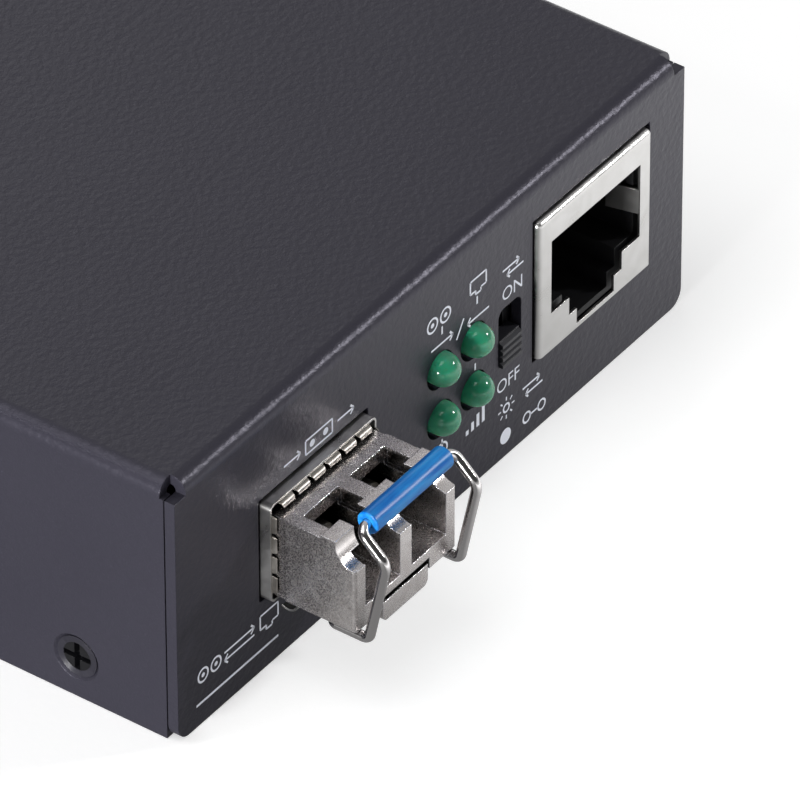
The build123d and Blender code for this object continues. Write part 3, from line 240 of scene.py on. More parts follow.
@dataclass(frozen=True)
class TinnedSheet(Finish):
    """Tin-plated steel strip, pressed: satin metal with faint rolling lines and cloudy tin."""

    swing: tuple[float, float] = (0.0, 0.12)
    shade: str = "#bdbcba"
    rolling: tuple[float, float, float] = (1.0, 0.12, 1.0)
    line: float = 0.14
    line_depth: float = 0.004
    cloud: float = 2.2
    cloud_depth: float = 0.006
    edge: float = 0.06

    def dress(self, tree: Tree, shader: bpy.types.Node, place: Socket) -> None:
        """Adds the rolling lines, the clouds of the tin bath and the stamped edges.

        Args:
            tree: The material's nodes.
            shader: Its shader.
            place: The point on the surface, in the piece's own frame.
        """
        along = add_node(tree, "Mapping", {"Vector": place, "Scale": self.rolling})
        lines = add_node(tree, "TexNoise", {"Vector": along.outputs[0], "Scale": per_mm(self.line),
                                            "Detail": 2.0})
        cloud = add_node(tree, "TexNoise", {"Vector": place, "Scale": per_mm(self.cloud), "Detail": 4.0,
                                            "Distortion": 0.6})
        spread = add_node(tree, "MapRange", {"Value": cloud.outputs[0], "From Min": 0.3, "From Max": 0.7})
        self.vary(tree, shader, spread.outputs[0], self.shade, self.colour)
        self.gloss(tree, shader, spread.outputs[0])
        self.raise_surface(tree, shader, [(lines.outputs[0], self.line_depth),
                                          (cloud.outputs[0], self.cloud_depth)], self.edge)
        shader.inputs["Metallic"].default_value = 1.0


@dataclass(frozen=True)
class NickelCasting(Finish):
    """Die-cast zinc under bright nickel: a fine grain that sparkles, with polished outer edges that carry a
    painted highlight.
    """

    swing: tuple[float, float] = (-0.05, 0.1)
    shade: str = "#e6dfdd"
    # Painted shade: the dark colour that the hollows take, found by ambient occlusion.
    film: str = "#26211d"
    # Painted highlight: the whiter colour that the edge strip takes.
    bright: str = "#fbfaff"
    grain: float = 0.11
    grain_depth: float = 0.011
    waves: float = 1.4
    wave_depth: float = 0.03
    hollow: float = 5.0
    rub: float = 0.16
    rub_gain: float = 3.0
    polish: float = 0.14
    edge: float = 0.12

    def polished_and_highlit_edges(self, tree: Tree) -> Socket:
        """Finds the strip along sharp edges, where rounding turns the surface away from its flat.

        Args:
            tree: The material's nodes.

        Returns:
            Nought on the flat and one along the edges.
        """
        round_normal = add_node(tree, "Bevel", {"Radius": self.rub * MM}, samples=4).outputs[0]
        flat_normal = add_node(tree, "NewGeometry").outputs["Normal"]
        alike = add_node(tree, "VectorMath", {0: round_normal, 1: flat_normal}, operation="DOT_PRODUCT")
        turned = add_node(tree, "Math", {0: 1.0, 1: alike.outputs["Value"]}, operation="SUBTRACT")
        strip = add_node(tree, "Math", {0: turned.outputs[0], 1: self.rub_gain}, operation="MULTIPLY",
                         use_clamp=True)
        return strip.outputs[0]

    def dress(self, tree: Tree, shader: bpy.types.Node, place: Socket) -> None:
        """Adds the casting's grain, its slow waves, painted shade in its hollows, and its polished edges with
        a painted highlight.

        Args:
            tree: The material's nodes.
            shader: Its shader.
            place: The point on the surface, in the piece's own frame.
        """
        # The casting's grain is about 0.05 mm; it is drawn at twice that so that it shows.
        grain = add_node(tree, "TexNoise", {"Vector": place, "Scale": per_mm(self.grain), "Detail": 1.0})
        waves = add_node(tree, "TexNoise", {"Vector": place, "Scale": per_mm(self.waves), "Detail": 4.0,
                                            "Roughness": 0.55})
        spread = add_node(tree, "MapRange", {"Value": waves.outputs[0], "From Min": 0.32, "From Max": 0.66})
        strip = self.polished_and_highlit_edges(tree)
        sheen = add_node(tree, "Mix", {0: spread.outputs[0], 6: linear(self.shade), 7: linear(self.colour)},
                         data_type="RGBA")
        # Painted shade: the colour darkens towards the film colour where ambient occlusion finds hollows.
        open_air = add_node(tree, "AmbientOcclusion", {"Distance": self.hollow * MM}, samples=4)
        clear = add_node(tree, "MapRange", {"Value": open_air.outputs["AO"], "From Min": 0.25,
                                            "From Max": 0.8})
        film = add_node(tree, "Mix", {0: clear.outputs[0], 6: linear(self.film), 7: sheen.outputs[2]},
                        data_type="RGBA")
        # Painted highlight: the edge strip turns towards the bright colour.
        edge_highlight = add_node(tree, "Mix", {0: strip, 6: film.outputs[2], 7: linear(self.bright)},
                          data_type="RGBA")
        tree.links.new(edge_highlight.outputs[2], shader.inputs["Base Color"])
        low, high = (self.roughness + change for change in self.swing)
        dull = add_node(tree, "MapRange", {"Value": grain.outputs[0], "From Min": 0.3, "From Max": 0.7,
                                           "To Min": low, "To Max": high})
        polished = add_node(tree, "Mix", {0: strip, 2: dull.outputs[0], 3: self.polish})
        tree.links.new(polished.outputs[0], shader.inputs["Roughness"])
        calm = add_node(tree, "Mix", {0: strip, 2: grain.outputs[0], 3: 0.5})
        self.raise_surface(tree, shader, [(waves.outputs[0], self.wave_depth),
                                          (calm.outputs[0], self.grain_depth)], self.edge)
        shader.inputs["Metallic"].default_value = 1.0


@dataclass(frozen=True)
class DrawnMetal(Finish):
    """Bright metal that was drawn, rolled or turned: nearly a mirror, with hair lines along one axis."""

    swing: tuple[float, float] = (-0.05, 0.1)
    stretch: tuple[float, float, float] = (0.1, 1.0, 1.0)
    line: float = 0.12
    line_depth: float = 0.004
    edge: float = 0.05

    def dress(self, tree: Tree, shader: bpy.types.Node, place: Socket) -> None:
        """Adds the hair lines and a slight dulling between them.

        Args:
            tree: The material's nodes.
            shader: Its shader.
            place: The point on the surface, in the piece's own frame.
        """
        along = add_node(tree, "Mapping", {"Vector": place, "Scale": self.stretch})
        lines = add_node(tree, "TexNoise", {"Vector": along.outputs[0], "Scale": per_mm(self.line),
                                            "Detail": 3.0})
        self.gloss(tree, shader, lines.outputs[0])
        self.raise_surface(tree, shader, [(lines.outputs[0], self.line_depth)], self.edge)
        shader.inputs["Metallic"].default_value = 1.0


@dataclass(frozen=True)
class MouldedPlastic(Finish):
    """Injection-moulded plastic from a spark-eroded tool: an even fine texture with soft edges."""

    swing: tuple[float, float] = (-0.06, 0.08)
    light: str = "#17171a"
    texture: float = 0.12
    depth: float = 0.006
    flow: float = 3.5
    edge: float = 0.08

    def dress(self, tree: Tree, shader: bpy.types.Node, place: Socket) -> None:
        """Adds the eroded texture and the faint flow of the melt.

        Args:
            tree: The material's nodes.
            shader: Its shader.
            place: The point on the surface, in the piece's own frame.
        """
        grain = add_node(tree, "TexNoise", {"Vector": place, "Scale": per_mm(self.texture), "Detail": 2.0})
        flow = add_node(tree, "TexNoise", {"Vector": place, "Scale": per_mm(self.flow), "Detail": 2.0,
                                           "Distortion": 1.2})
        self.vary(tree, shader, flow.outputs[0], self.colour, self.light)
        self.gloss(tree, shader, grain.outputs[0])
        self.raise_surface(tree, shader, [(grain.outputs[0], self.depth)], self.edge)


@dataclass(frozen=True)
class SunkScrew(Finish):
    """Blackened steel screw whose round head lies in a dimple that took the casing's enamel."""

    swing: tuple[float, float] = (-0.06, 0.08)
    enamel: str = "#2a2931"
    head: float = 1.32
    rim: float = 1.95
    lip: float = 0.06
    dimple: float = 0.5
    texture: float = 0.12
    depth: float = 0.006
    edge: float = 0.08

    def dress(self, tree: Tree, shader: bpy.types.Node, place: Socket) -> None:
        """Adds the enamelled cone round each head, by the distance from the nearest screw's axis.

        Args:
            tree: The material's nodes.
            shader: Its shader.
            place: The point on the surface, in the piece's own frame.
        """
        low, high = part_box("case_screws")
        middle = (low + high) / 2
        reach = (high.y - low.y) / 2 - self.rim * MM
        centred = add_node(tree, "VectorMath", {0: place, 1: (0.0, middle.y, middle.z)}, operation="SUBTRACT")
        folded = add_node(tree, "VectorMath", {0: centred.outputs[0]}, operation="ABSOLUTE")
        offset = add_node(tree, "VectorMath", {0: folded.outputs[0], 1: (0.0, reach, 0.0)},
                          operation="SUBTRACT")
        flat = add_node(tree, "VectorMath", {0: offset.outputs[0], 1: (0.0, 1.0, 1.0)}, operation="MULTIPLY")
        radius = add_node(tree, "VectorMath", {0: flat.outputs[0]}, operation="LENGTH").outputs["Value"]
        cone = add_node(tree, "MapRange", {"Value": radius, "From Min": self.head * MM,
                                           "From Max": self.rim * MM})
        ring = add_node(tree, "MapRange", {"Value": radius, "From Min": self.head * MM,
                                           "From Max": (self.head + self.lip) * MM})
        grain = add_node(tree, "TexNoise", {"Vector": place, "Scale": per_mm(self.texture), "Detail": 2.0})
        self.vary(tree, shader, ring.outputs[0], self.colour, self.enamel)
        self.gloss(tree, shader, grain.outputs[0])
        self.raise_surface(tree, shader, [(cone.outputs[0], self.dimple), (grain.outputs[0], self.depth)],
                           self.edge)


@dataclass(frozen=True)
class SleevePlastic(Finish):
    """Blue nylon moulded round the wire: glossy, a little milky below the surface, with drag lines."""

    swing: tuple[float, float] = (-0.04, 0.08)
    light: str = "#2086cc"
    stretch: tuple[float, float, float] = (0.12, 1.0, 1.0)
    line: float = 0.5
    line_depth: float = 0.02
    edge: float = 0.08
    milk: float = 0.05
    milk_depth: float = 0.4
    reflection: float = 0.35

    def dress(self, tree: Tree, shader: bpy.types.Node, place: Socket) -> None:
        """Adds the drag lines that run along the sleeve.

        Args:
            tree: The material's nodes.
            shader: Its shader.
            place: The point on the surface, in the piece's own frame.
        """
        along = add_node(tree, "Mapping", {"Vector": place, "Scale": self.stretch})
        lines = add_node(tree, "TexNoise", {"Vector": along.outputs[0], "Scale": per_mm(self.line),
                                            "Detail": 2.0})
        spread = add_node(tree, "MapRange", {"Value": lines.outputs[0], "From Min": 0.35, "From Max": 0.65})
        self.vary(tree, shader, spread.outputs[0], self.colour, self.light)
        self.gloss(tree, shader, lines.outputs[0])
        self.raise_surface(tree, shader, [(lines.outputs[0], self.line_depth)], self.edge)
        shader.inputs["Subsurface Weight"].default_value = self.milk
        shader.inputs["Subsurface Scale"].default_value = self.milk_depth * MM
        shader.inputs["Specular IOR Level"].default_value = self.reflection


@dataclass(frozen=True)
class LampResin(Finish):
    """Tinted epoxy cast in a smooth mould: light enters, scatters on the tint and comes out green."""

    swing: tuple[float, float] = (0.0, 0.06)
    # Painted light: the paler green of the lit rim.
    painted_rim_light: str = "#6fcaa0"
    rim: float = 0.35
    ripple: float = 1.1
    ripple_depth: float = 0.01
    clearness: float = 0.3
    scatter: float = 0.3
    scatter_depth: float = 0.5
    index: float = 1.53

    def dress(self, tree: Tree, shader: bpy.types.Node, place: Socket) -> None:
        """Adds a painted lit rim, paler green towards the outline, and a faint ripple of the mould.

        Args:
            tree: The material's nodes.
            shader: Its shader.
            place: The point on the surface, in the piece's own frame.
        """
        rim = add_node(tree, "LayerWeight", {"Blend": self.rim})
        ripple = add_node(tree, "TexNoise", {"Vector": place, "Scale": per_mm(self.ripple), "Detail": 1.0})
        # Painted light: the colour turns paler green towards the outline, as a lit rim.
        self.vary(tree, shader, rim.outputs["Facing"], self.colour, self.painted_rim_light)
        self.gloss(tree, shader, ripple.outputs[0])
        self.raise_surface(tree, shader, [(ripple.outputs[0], self.ripple_depth)])
        shader.inputs["Transmission Weight"].default_value = self.clearness
        shader.inputs["Subsurface Weight"].default_value = self.scatter
        shader.inputs["Subsurface Scale"].default_value = self.scatter_depth * MM
        shader.inputs["IOR"].default_value = self.index


@dataclass(frozen=True)
class PrintInk(Finish):
    """Screen-printed ink: a thin matt film that is slightly open over the peel of the paint."""

    light: str = "#eeeff6"
    mesh: float = 0.3
    mesh_depth: float = 0.008

    def dress(self, tree: Tree, shader: bpy.types.Node, place: Socket) -> None:
        """Adds the mesh of the screen and thin spots in the film.

        Args:
            tree: The material's nodes.
            shader: Its shader.
            place: The point on the surface, in the piece's own frame.
        """
        spots = add_node(tree, "TexNoise", {"Vector": place, "Scale": per_mm(self.mesh), "Detail": 2.0})
        self.vary(tree, shader, spots.outputs[0], self.colour, self.light)
        self.raise_surface(tree, shader, [(spots.outputs[0], self.mesh_depth)])


@dataclass(frozen=True)
class BoardLaminate(Finish):
    """Glass-epoxy board under green lacquer: copper tracks show through as a lighter green."""

    swing: tuple[float, float] = (0.0, 0.12)
    track: str = "#1f6b45"
    lane: float = 2.4
    lane_depth: float = 0.03
    weave: float = 0.45
    weave_depth: float = 0.004

    def dress(self, tree: Tree, shader: bpy.types.Node, place: Socket) -> None:
        """Adds tracks that run in straight lanes, and the weave of the glass below them.

        Args:
            tree: The material's nodes.
            shader: Its shader.
            place: The point on the surface, in the piece's own frame.
        """
        lanes = add_node(tree, "TexBrick", {"Vector": place, "Scale": per_mm(self.lane), "Mortar Size": 0.08,
                                            "Color1": (0, 0, 0, 1), "Color2": (0, 0, 0, 1),
                                            "Mortar": (1, 1, 1, 1)})
        weave = add_node(tree, "TexChecker", {"Vector": place, "Scale": per_mm(self.weave)})
        self.vary(tree, shader, lanes.outputs[0], self.colour, self.track)
        self.gloss(tree, shader, lanes.outputs[0])
        self.raise_surface(tree, shader, [(lanes.outputs[0], self.lane_depth),
                                          (weave.outputs["Fac"], self.weave_depth)])


@dataclass(frozen=True)
class StudioFloor(Finish):
    """White seamless paper: matt, and seen as white except where the object shades it."""

    lift: float = 0.44
    dim: float = 0.25
    bright: float = 1.55
    graded: tuple[float, float] = (0.047, 0.122)
    tooth: float = 0.8
    tooth_depth: float = 0.01

    def dress(self, tree: Tree, shader: bpy.types.Node, place: Socket) -> None:
        """Adds the paper's tooth and the white that camera, mirror and glass rays see.

        Args:
            tree: The material's nodes.
            shader: Its shader.
            place: The point on the surface, in the piece's own frame.
        """
        tooth = add_node(tree, "TexNoise", {"Vector": place, "Scale": per_mm(self.tooth), "Detail": 2.0})
        self.raise_surface(tree, shader, [(tooth.outputs[0], self.tooth_depth)])
        path = add_node(tree, "LightPath")
        seen = add_node(tree, "Math", {0: path.outputs["Is Camera Ray"],
                                       1: path.outputs["Is Transmission Ray"]}, operation="MAXIMUM")
        strength = add_node(tree, "Math", {0: seen.outputs[0], 1: self.lift}, operation="MULTIPLY")
        white = add_node(tree, "Emission", {"Color": (1, 1, 1, 1), "Strength": strength.outputs[0]})
        both = add_node(tree, "AddShader", {0: shader.outputs[0], 1: white.outputs[0]})
        # Mirror rays see the paper as it is lit from the right: dim close in front, bright further right.
        across = add_node(tree, "SeparateXYZ", {0: place})
        away = add_node(tree, "Math", {0: across.outputs["X"], 1: across.outputs["Y"]}, operation="SUBTRACT")
        near, far = self.graded
        lit = add_node(tree, "MapRange", {"Value": away.outputs[0], "From Min": near, "From Max": far,
                                          "To Min": self.dim, "To Max": self.bright})
        mirrored = add_node(tree, "Emission", {"Color": (1, 1, 1, 1), "Strength": lit.outputs[0]})
        paper = add_node(tree, "MixShader", {0: path.outputs["Is Glossy Ray"], 1: both.outputs[0],
                                             2: mirrored.outputs[0]})
        tree.links.new(paper.outputs[0], tree.nodes["Material Output"].inputs["Surface"])


# Enamel: satin black with a violet cast, a little duller on the tray.
ENAMEL = PowderEnamel("black_powder_coat", "#2a2931", 0.35)
TRAY_ENAMEL = PowderEnamel("black_powder_coat_tray", "#28272f", 0.4)
# Tin plate: pale and cloudy; the thin spring fingers take a darker copy of it, a painted shade.
TINNED = TinnedSheet("tinned_steel_strip", "#cac9c8", 0.27)
SHADED_FINGER_TIN = TinnedSheet("tinned_spring_fingers_painted_shade", "#a8a49f", 0.3, shade="#86817b")
# Nickel on the casting: edges with a painted highlight round a sparkling grey.
NICKEL = NickelCasting("nickel_plated_casting", "#f8f3f2", 0.24)
# Drawn and turned metals: nearly mirrors, told apart by their hue and gloss.
WIRE = DrawnMetal("stainless_spring_wire", "#d9d6d6", 0.13, line=0.2)
FASTENER = DrawnMetal("zinc_plated_steel", "#b4b2ac", 0.3)
GOLD = DrawnMetal("gold_plated_bronze", "#d8a94a", 0.18, stretch=(1.0, 0.1, 1.0), edge=0.0)
# Blackened steel: a darker, glossier head in its enamelled dimple.
SCREW = SunkScrew("blackened_screw_steel", "#0b0b0e", 0.3)
# Mouldings: near-black and satin, with a greyer knob; epoxy, ferrite and ceramic are dull.
SOCKET_PLASTIC = MouldedPlastic("black_pbt_moulding", "#101012", 0.45)
KNOB_PLASTIC = MouldedPlastic("dark_grey_nylon_knob", "#26262b", 0.42, light="#2e2e34")
CHIP = MouldedPlastic("chip_epoxy", "#1a1a1b", 0.6, light="#242425")
FERRITE = MouldedPlastic("sintered_ferrite", "#3a3836", 0.7, light="#45423f", depth=0.02)
CERAMIC = MouldedPlastic("fired_ceramic_chip", "#8f7a5c", 0.55, light="#a08a69")
# Clear colours: a strong glossy blue, and a deep green with a painted paler rim of light.
BLUE = SleevePlastic("blue_nylon_sleeve", "#0060b2", 0.3)
LAMP = LampResin("green_tinted_epoxy", "#2f9a74", 0.1)
# Flat surfaces: cool white ink, glossy green board and white paper.
INK = PrintInk("pale_screen_ink", "#edf2ff", 0.6)
LAMINATE = BoardLaminate("lacquered_glass_board", "#0f4a2d", 0.35)
PAPER = StudioFloor("white_seamless_paper", "#e4e4e4", 0.9)


def clear_selection() -> None:
    """Deselects everything, because an operator acts on all that is selected."""
    for thing in bpy.context.view_layer.objects.selected:
        thing.select_set(False)


def take(thing: bpy.types.Object) -> None:
    """Makes one object the only selected and active one.

    Args:
        thing: The object.
    """
    clear_selection()
    thing.select_set(True)
    bpy.context.view_layer.objects.active = thing


def settle(thing: bpy.types.Object, name: str, finish: Finish, body: Body) -> None:
    """Puts a finished piece's place into its mesh, dresses it and lets it ride.

    Args:
        thing: The piece.
        name: Its name.
        finish: Its finish.
        body: The body it moves with.
    """
    take(thing)
    bpy.ops.object.transform_apply(location=True, rotation=True, scale=True)
    thing.name = name
    thing.data.name = name
    thing.data.materials.clear()
    thing.data.materials.append(finish.material())
    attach(thing, body.value)


def join(things: list[bpy.types.Object]) -> bpy.types.Object:
    """Makes one object of several.

    Args:
        things: The objects, of which the first takes in the others.

    Returns:
        The one that is left.
    """
    take(things[0])
    for thing in things:
        thing.select_set(True)
    bpy.ops.object.join()
    return things[0]


def dress_nodes(finish: Finish, *names: str) -> None:
    """Gives CAD nodes a finish through their material slots.

    Args:
        finish: The finish.
        *names: The nodes that take it.
    """
    for name in names:
        for slot in frame["nodes"][name].material_slots:
            slot.material = finish.material()
        log.info("dressed %s with %s", name, finish.name)


@dataclass
class Casing:
    """Folded cover and tray under one coat of enamel, with their screws."""

    def build(self) -> None:
        """Dresses the casing's nodes."""
        dress_nodes(ENAMEL, "top_cover")
        dress_nodes(TRAY_ENAMEL, "base_tray")
        dress_nodes(SCREW, "case_screws")


@dataclass
class PanelPrint:
    """Pale marks on the front panel: plain pictograms, ON and OFF."""

    lift: float = 0.02 * MM
    stroke: float = 0.2
    capital: float = 0.7  # a capital's height as a share of the letters' size
    curve_steps: int = 4
    facets: int = 32
    bore_share: float = 0.3
    bore_step: float = 3.3
    sign_height: float = 0.75
    sun: float = 0.5
    rays: int = 8
    ray_reach: tuple[float, float] = (0.75, 1.15)
    ray_stroke: float = 0.16
    marks: list[bpy.types.Object] = field(default_factory=list)

    def words(self, text: str, left: float, low: float, height: float) -> None:
        """Sets a short word as a flat mesh.

        Args:
            text: The word.
            left: Its left edge on the panel in millimetres.
            low: Its baseline in millimetres above the floor.
            height: The height of its capitals in millimetres.
        """
        clear_selection()
        bpy.ops.object.text_add(location=(left * MM, FRONT_Y - self.lift, low * MM),
                                rotation=(math.pi / 2, 0, 0))
        made = bpy.context.object
        made.data.body = text
        made.data.size = height * MM / self.capital
        made.data.resolution_u = self.curve_steps
        take(made)
        bpy.ops.object.convert(target="MESH")
        self.marks.append(bpy.context.object)

    def bar(self, start: tuple[float, float], end: tuple[float, float], width: float = 0.0) -> None:
        """Draws a straight stroke between two places on the panel.

        Args:
            start: Its first end, across and up, in millimetres.
            end: Its other end.
            width: Its width in millimetres, or nought for the usual stroke.
        """
        width = width or self.stroke
        run = Vector((end[0] - start[0], end[1] - start[1]))
        clear_selection()
        middle = ((start[0] + end[0]) / 2 * MM, FRONT_Y - self.lift, (start[1] + end[1]) / 2 * MM)
        bpy.ops.mesh.primitive_plane_add(size=1.0, location=middle,
                                         rotation=(math.pi / 2, -math.atan2(run.y, run.x), 0))
        made = bpy.context.object
        made.scale = (run.length * MM, width * MM, 1.0)
        self.marks.append(made)

    def ring(self, x: float, z: float, radius: float, width: float = 0.0) -> None:
        """Draws a ring, or a filled dot where the width reaches the middle.

        Args:
            x: Its middle across the panel in millimetres.
            z: Its middle above the floor in millimetres.
            radius: Its outer radius in millimetres.
            width: The width of its line in millimetres, or nought for the usual stroke.
        """
        width = width or self.stroke
        clear_selection()
        bpy.ops.mesh.primitive_circle_add(vertices=self.facets, radius=radius * MM, fill_type="NGON",
                                          location=(x * MM, FRONT_Y - self.lift, z * MM),
                                          rotation=(math.pi / 2, 0, 0))
        made = bpy.context.object
        if width < radius:
            bpy.ops.object.mode_set(mode="EDIT")
            bpy.ops.mesh.select_all(action="SELECT")
            bpy.ops.mesh.inset(thickness=width * MM)
            bpy.ops.mesh.delete(type="FACE")
            bpy.ops.object.mode_set(mode="OBJECT")
        self.marks.append(made)

    def arrow(self, tail: float, tip: float, z: float, head: float = 0.45) -> None:
        """Draws an arrow along the panel.

        Args:
            tail: Where it starts in millimetres.
            tip: Where it points in millimetres.
            z: Its height above the floor in millimetres.
            head: The length of its head's strokes in millimetres.
        """
        way = math.copysign(1.0, tip - tail)
        self.bar((tail, z), (tip, z))
        self.bar((tip, z), (tip - way * head, z + head))
        self.bar((tip, z), (tip - way * head, z - head))

    def outline(self, points: list[tuple[float, float]]) -> None:
        """Draws a closed outline through points in millimetres."""
        for start, end in zip(points, points[1:] + points[:1]):
            self.bar(start, end)

    def socket_sign(self, left: float, low: float, size: float) -> None:
        """Draws a small network socket.

        Args:
            left: Its left edge in millimetres.
            low: Its lower edge in millimetres.
            size: Its width in millimetres.
        """
        third, high = size / 3, low + size * self.sign_height
        self.outline([(left, low + third / 2), (left + third, low + third / 2), (left + third, low),
                      (left + 2 * third, low), (left + 2 * third, low + third / 2),
                      (left + size, low + third / 2), (left + size, high), (left, high)])

    def fibre_sign(self, left: float, middle: float, radius: float) -> None:
        """Draws the two round bores of a fibre port side by side.

        Args:
            left: Its left edge in millimetres.
            middle: Its middle height in millimetres.
            radius: The radius of each bore's ring in millimetres.
        """
        for offset in (radius, radius * self.bore_step):
            self.ring(left + offset, middle, radius)
            self.ring(left + offset, middle, radius * self.bore_share, radius)

    def sunburst(self, x: float, z: float) -> None:
        """Draws a ring with short rays round it.

        Args:
            x: Its middle across the panel in millimetres.
            z: Its middle above the floor in millimetres.
        """
        self.ring(x, z, self.sun)
        for turn in range(self.rays):
            angle = turn * 2 * math.pi / self.rays
            way = Vector((math.cos(angle), math.sin(angle)))
            start, end = way * self.ray_reach[0], way * self.ray_reach[1]
            self.bar((x + start.x, z + start.y), (x + end.x, z + end.y), self.ray_stroke)

    def lamp_marks(self) -> None:
        """Draws the marks round the four lamps; places are in millimetres across and up."""
        self.fibre_sign(-1.2, 20.2, 0.78)
        self.socket_sign(4.8, 19.6, 2.2)
        self.bar((0.9, 18.5), (0.9, 19.3))
        self.bar((5.75, 18.5), (5.75, 19.3))
        self.arrow(-0.6, 2.4, 17.6)
        self.bar((2.9, 16.6), (3.9, 18.2))
        self.arrow(7.4, 4.4, 17.2)
        self.bar((5.5, 11.8), (5.5, 12.5))
        self.ring(0.9, 6.5, 0.8)
        self.bar((0.9, 6.5), (0.9, 7.6))
        for step in range(4):
            x = 4.4 + step * 0.75
            self.bar((x, 5.7), (x, 6.2 + step * 0.42), 0.4)

    def switch_marks(self) -> None:
        """Draws the marks above and below the switch; places are in millimetres across and up."""
        self.words("ON", 9.2, 16.35, 1.3)
        self.words("OFF", 8.5, 7.1, 1.3)
        self.arrow(9.3, 11.6, 19.5, 0.4)
        self.arrow(12.2, 9.9, 18.8, 0.4)
        self.sunburst(9.9, 5.0)
        self.ring(9.8, 2.1, 0.75, 0.75)
        self.arrow(12.2, 14.6, 5.4, 0.4)
        self.arrow(15.0, 12.6, 4.6, 0.4)
        self.ring(12.8, 2.1, 0.6)
        self.bar((13.3, 2.1), (14.4, 2.1))
        self.ring(14.9, 2.1, 0.6)

    def module_marks(self) -> None:
        """Draws the marks above and below the module; places are in millimetres across and up."""
        self.arrow(-20.6, -18.4, 18.9)
        self.outline([(-17.7, 18.2), (-14.1, 18.2), (-14.1, 19.6), (-17.7, 19.6)])
        self.ring(-16.8, 18.9, 0.35, 0.35)
        self.ring(-15.0, 18.9, 0.35, 0.35)
        self.arrow(-13.4, -11.2, 18.9)
        self.fibre_sign(-32.4, 4.9, 0.75)
        self.arrow(-28.8, -24.8, 5.2)
        self.arrow(-24.8, -28.8, 4.4)
        self.socket_sign(-24.0, 3.9, 2.4)
        self.bar((-32.6, 2.2), (-21.6, 2.2), 0.25)

    def build(self) -> None:
        """Draws the print and joins it into one thin film."""
        self.lamp_marks()
        self.switch_marks()
        self.module_marks()
        settle(join(self.marks), "panel_print", INK, Body.CHASSIS)
        log.info("built panel_print of %d marks", len(self.marks))


@dataclass
class NetworkSocket:
    """The network socket: plated shield, black housing and gold contacts."""

    def build(self) -> None:
        """Dresses the socket's nodes."""
        dress_nodes(TINNED, "rj45_shield")
        dress_nodes(SOCKET_PLASTIC, "rj45_housing")
        dress_nodes(GOLD, "rj45_contacts")


@dataclass
class LampGroup:
    """Four green lamps with their holders and leads."""

    def build(self) -> None:
        """Dresses the lamps, their holders and their leads."""
        dress_nodes(LAMP, "lamp_1", "lamp_2", "lamp_3", "lamp_4")
        dress_nodes(SOCKET_PLASTIC, "lamp_holders")
        dress_nodes(FASTENER, "lamp_leads")


@dataclass
class SlideSwitch:
    """The slide switch: ridged knob, body and terminals."""

    def build(self) -> None:
        """Dresses the switch's nodes."""
        dress_nodes(KNOB_PLASTIC, "switch_knob")
        dress_nodes(SOCKET_PLASTIC, "switch_body")
        dress_nodes(FASTENER, "switch_terminals")


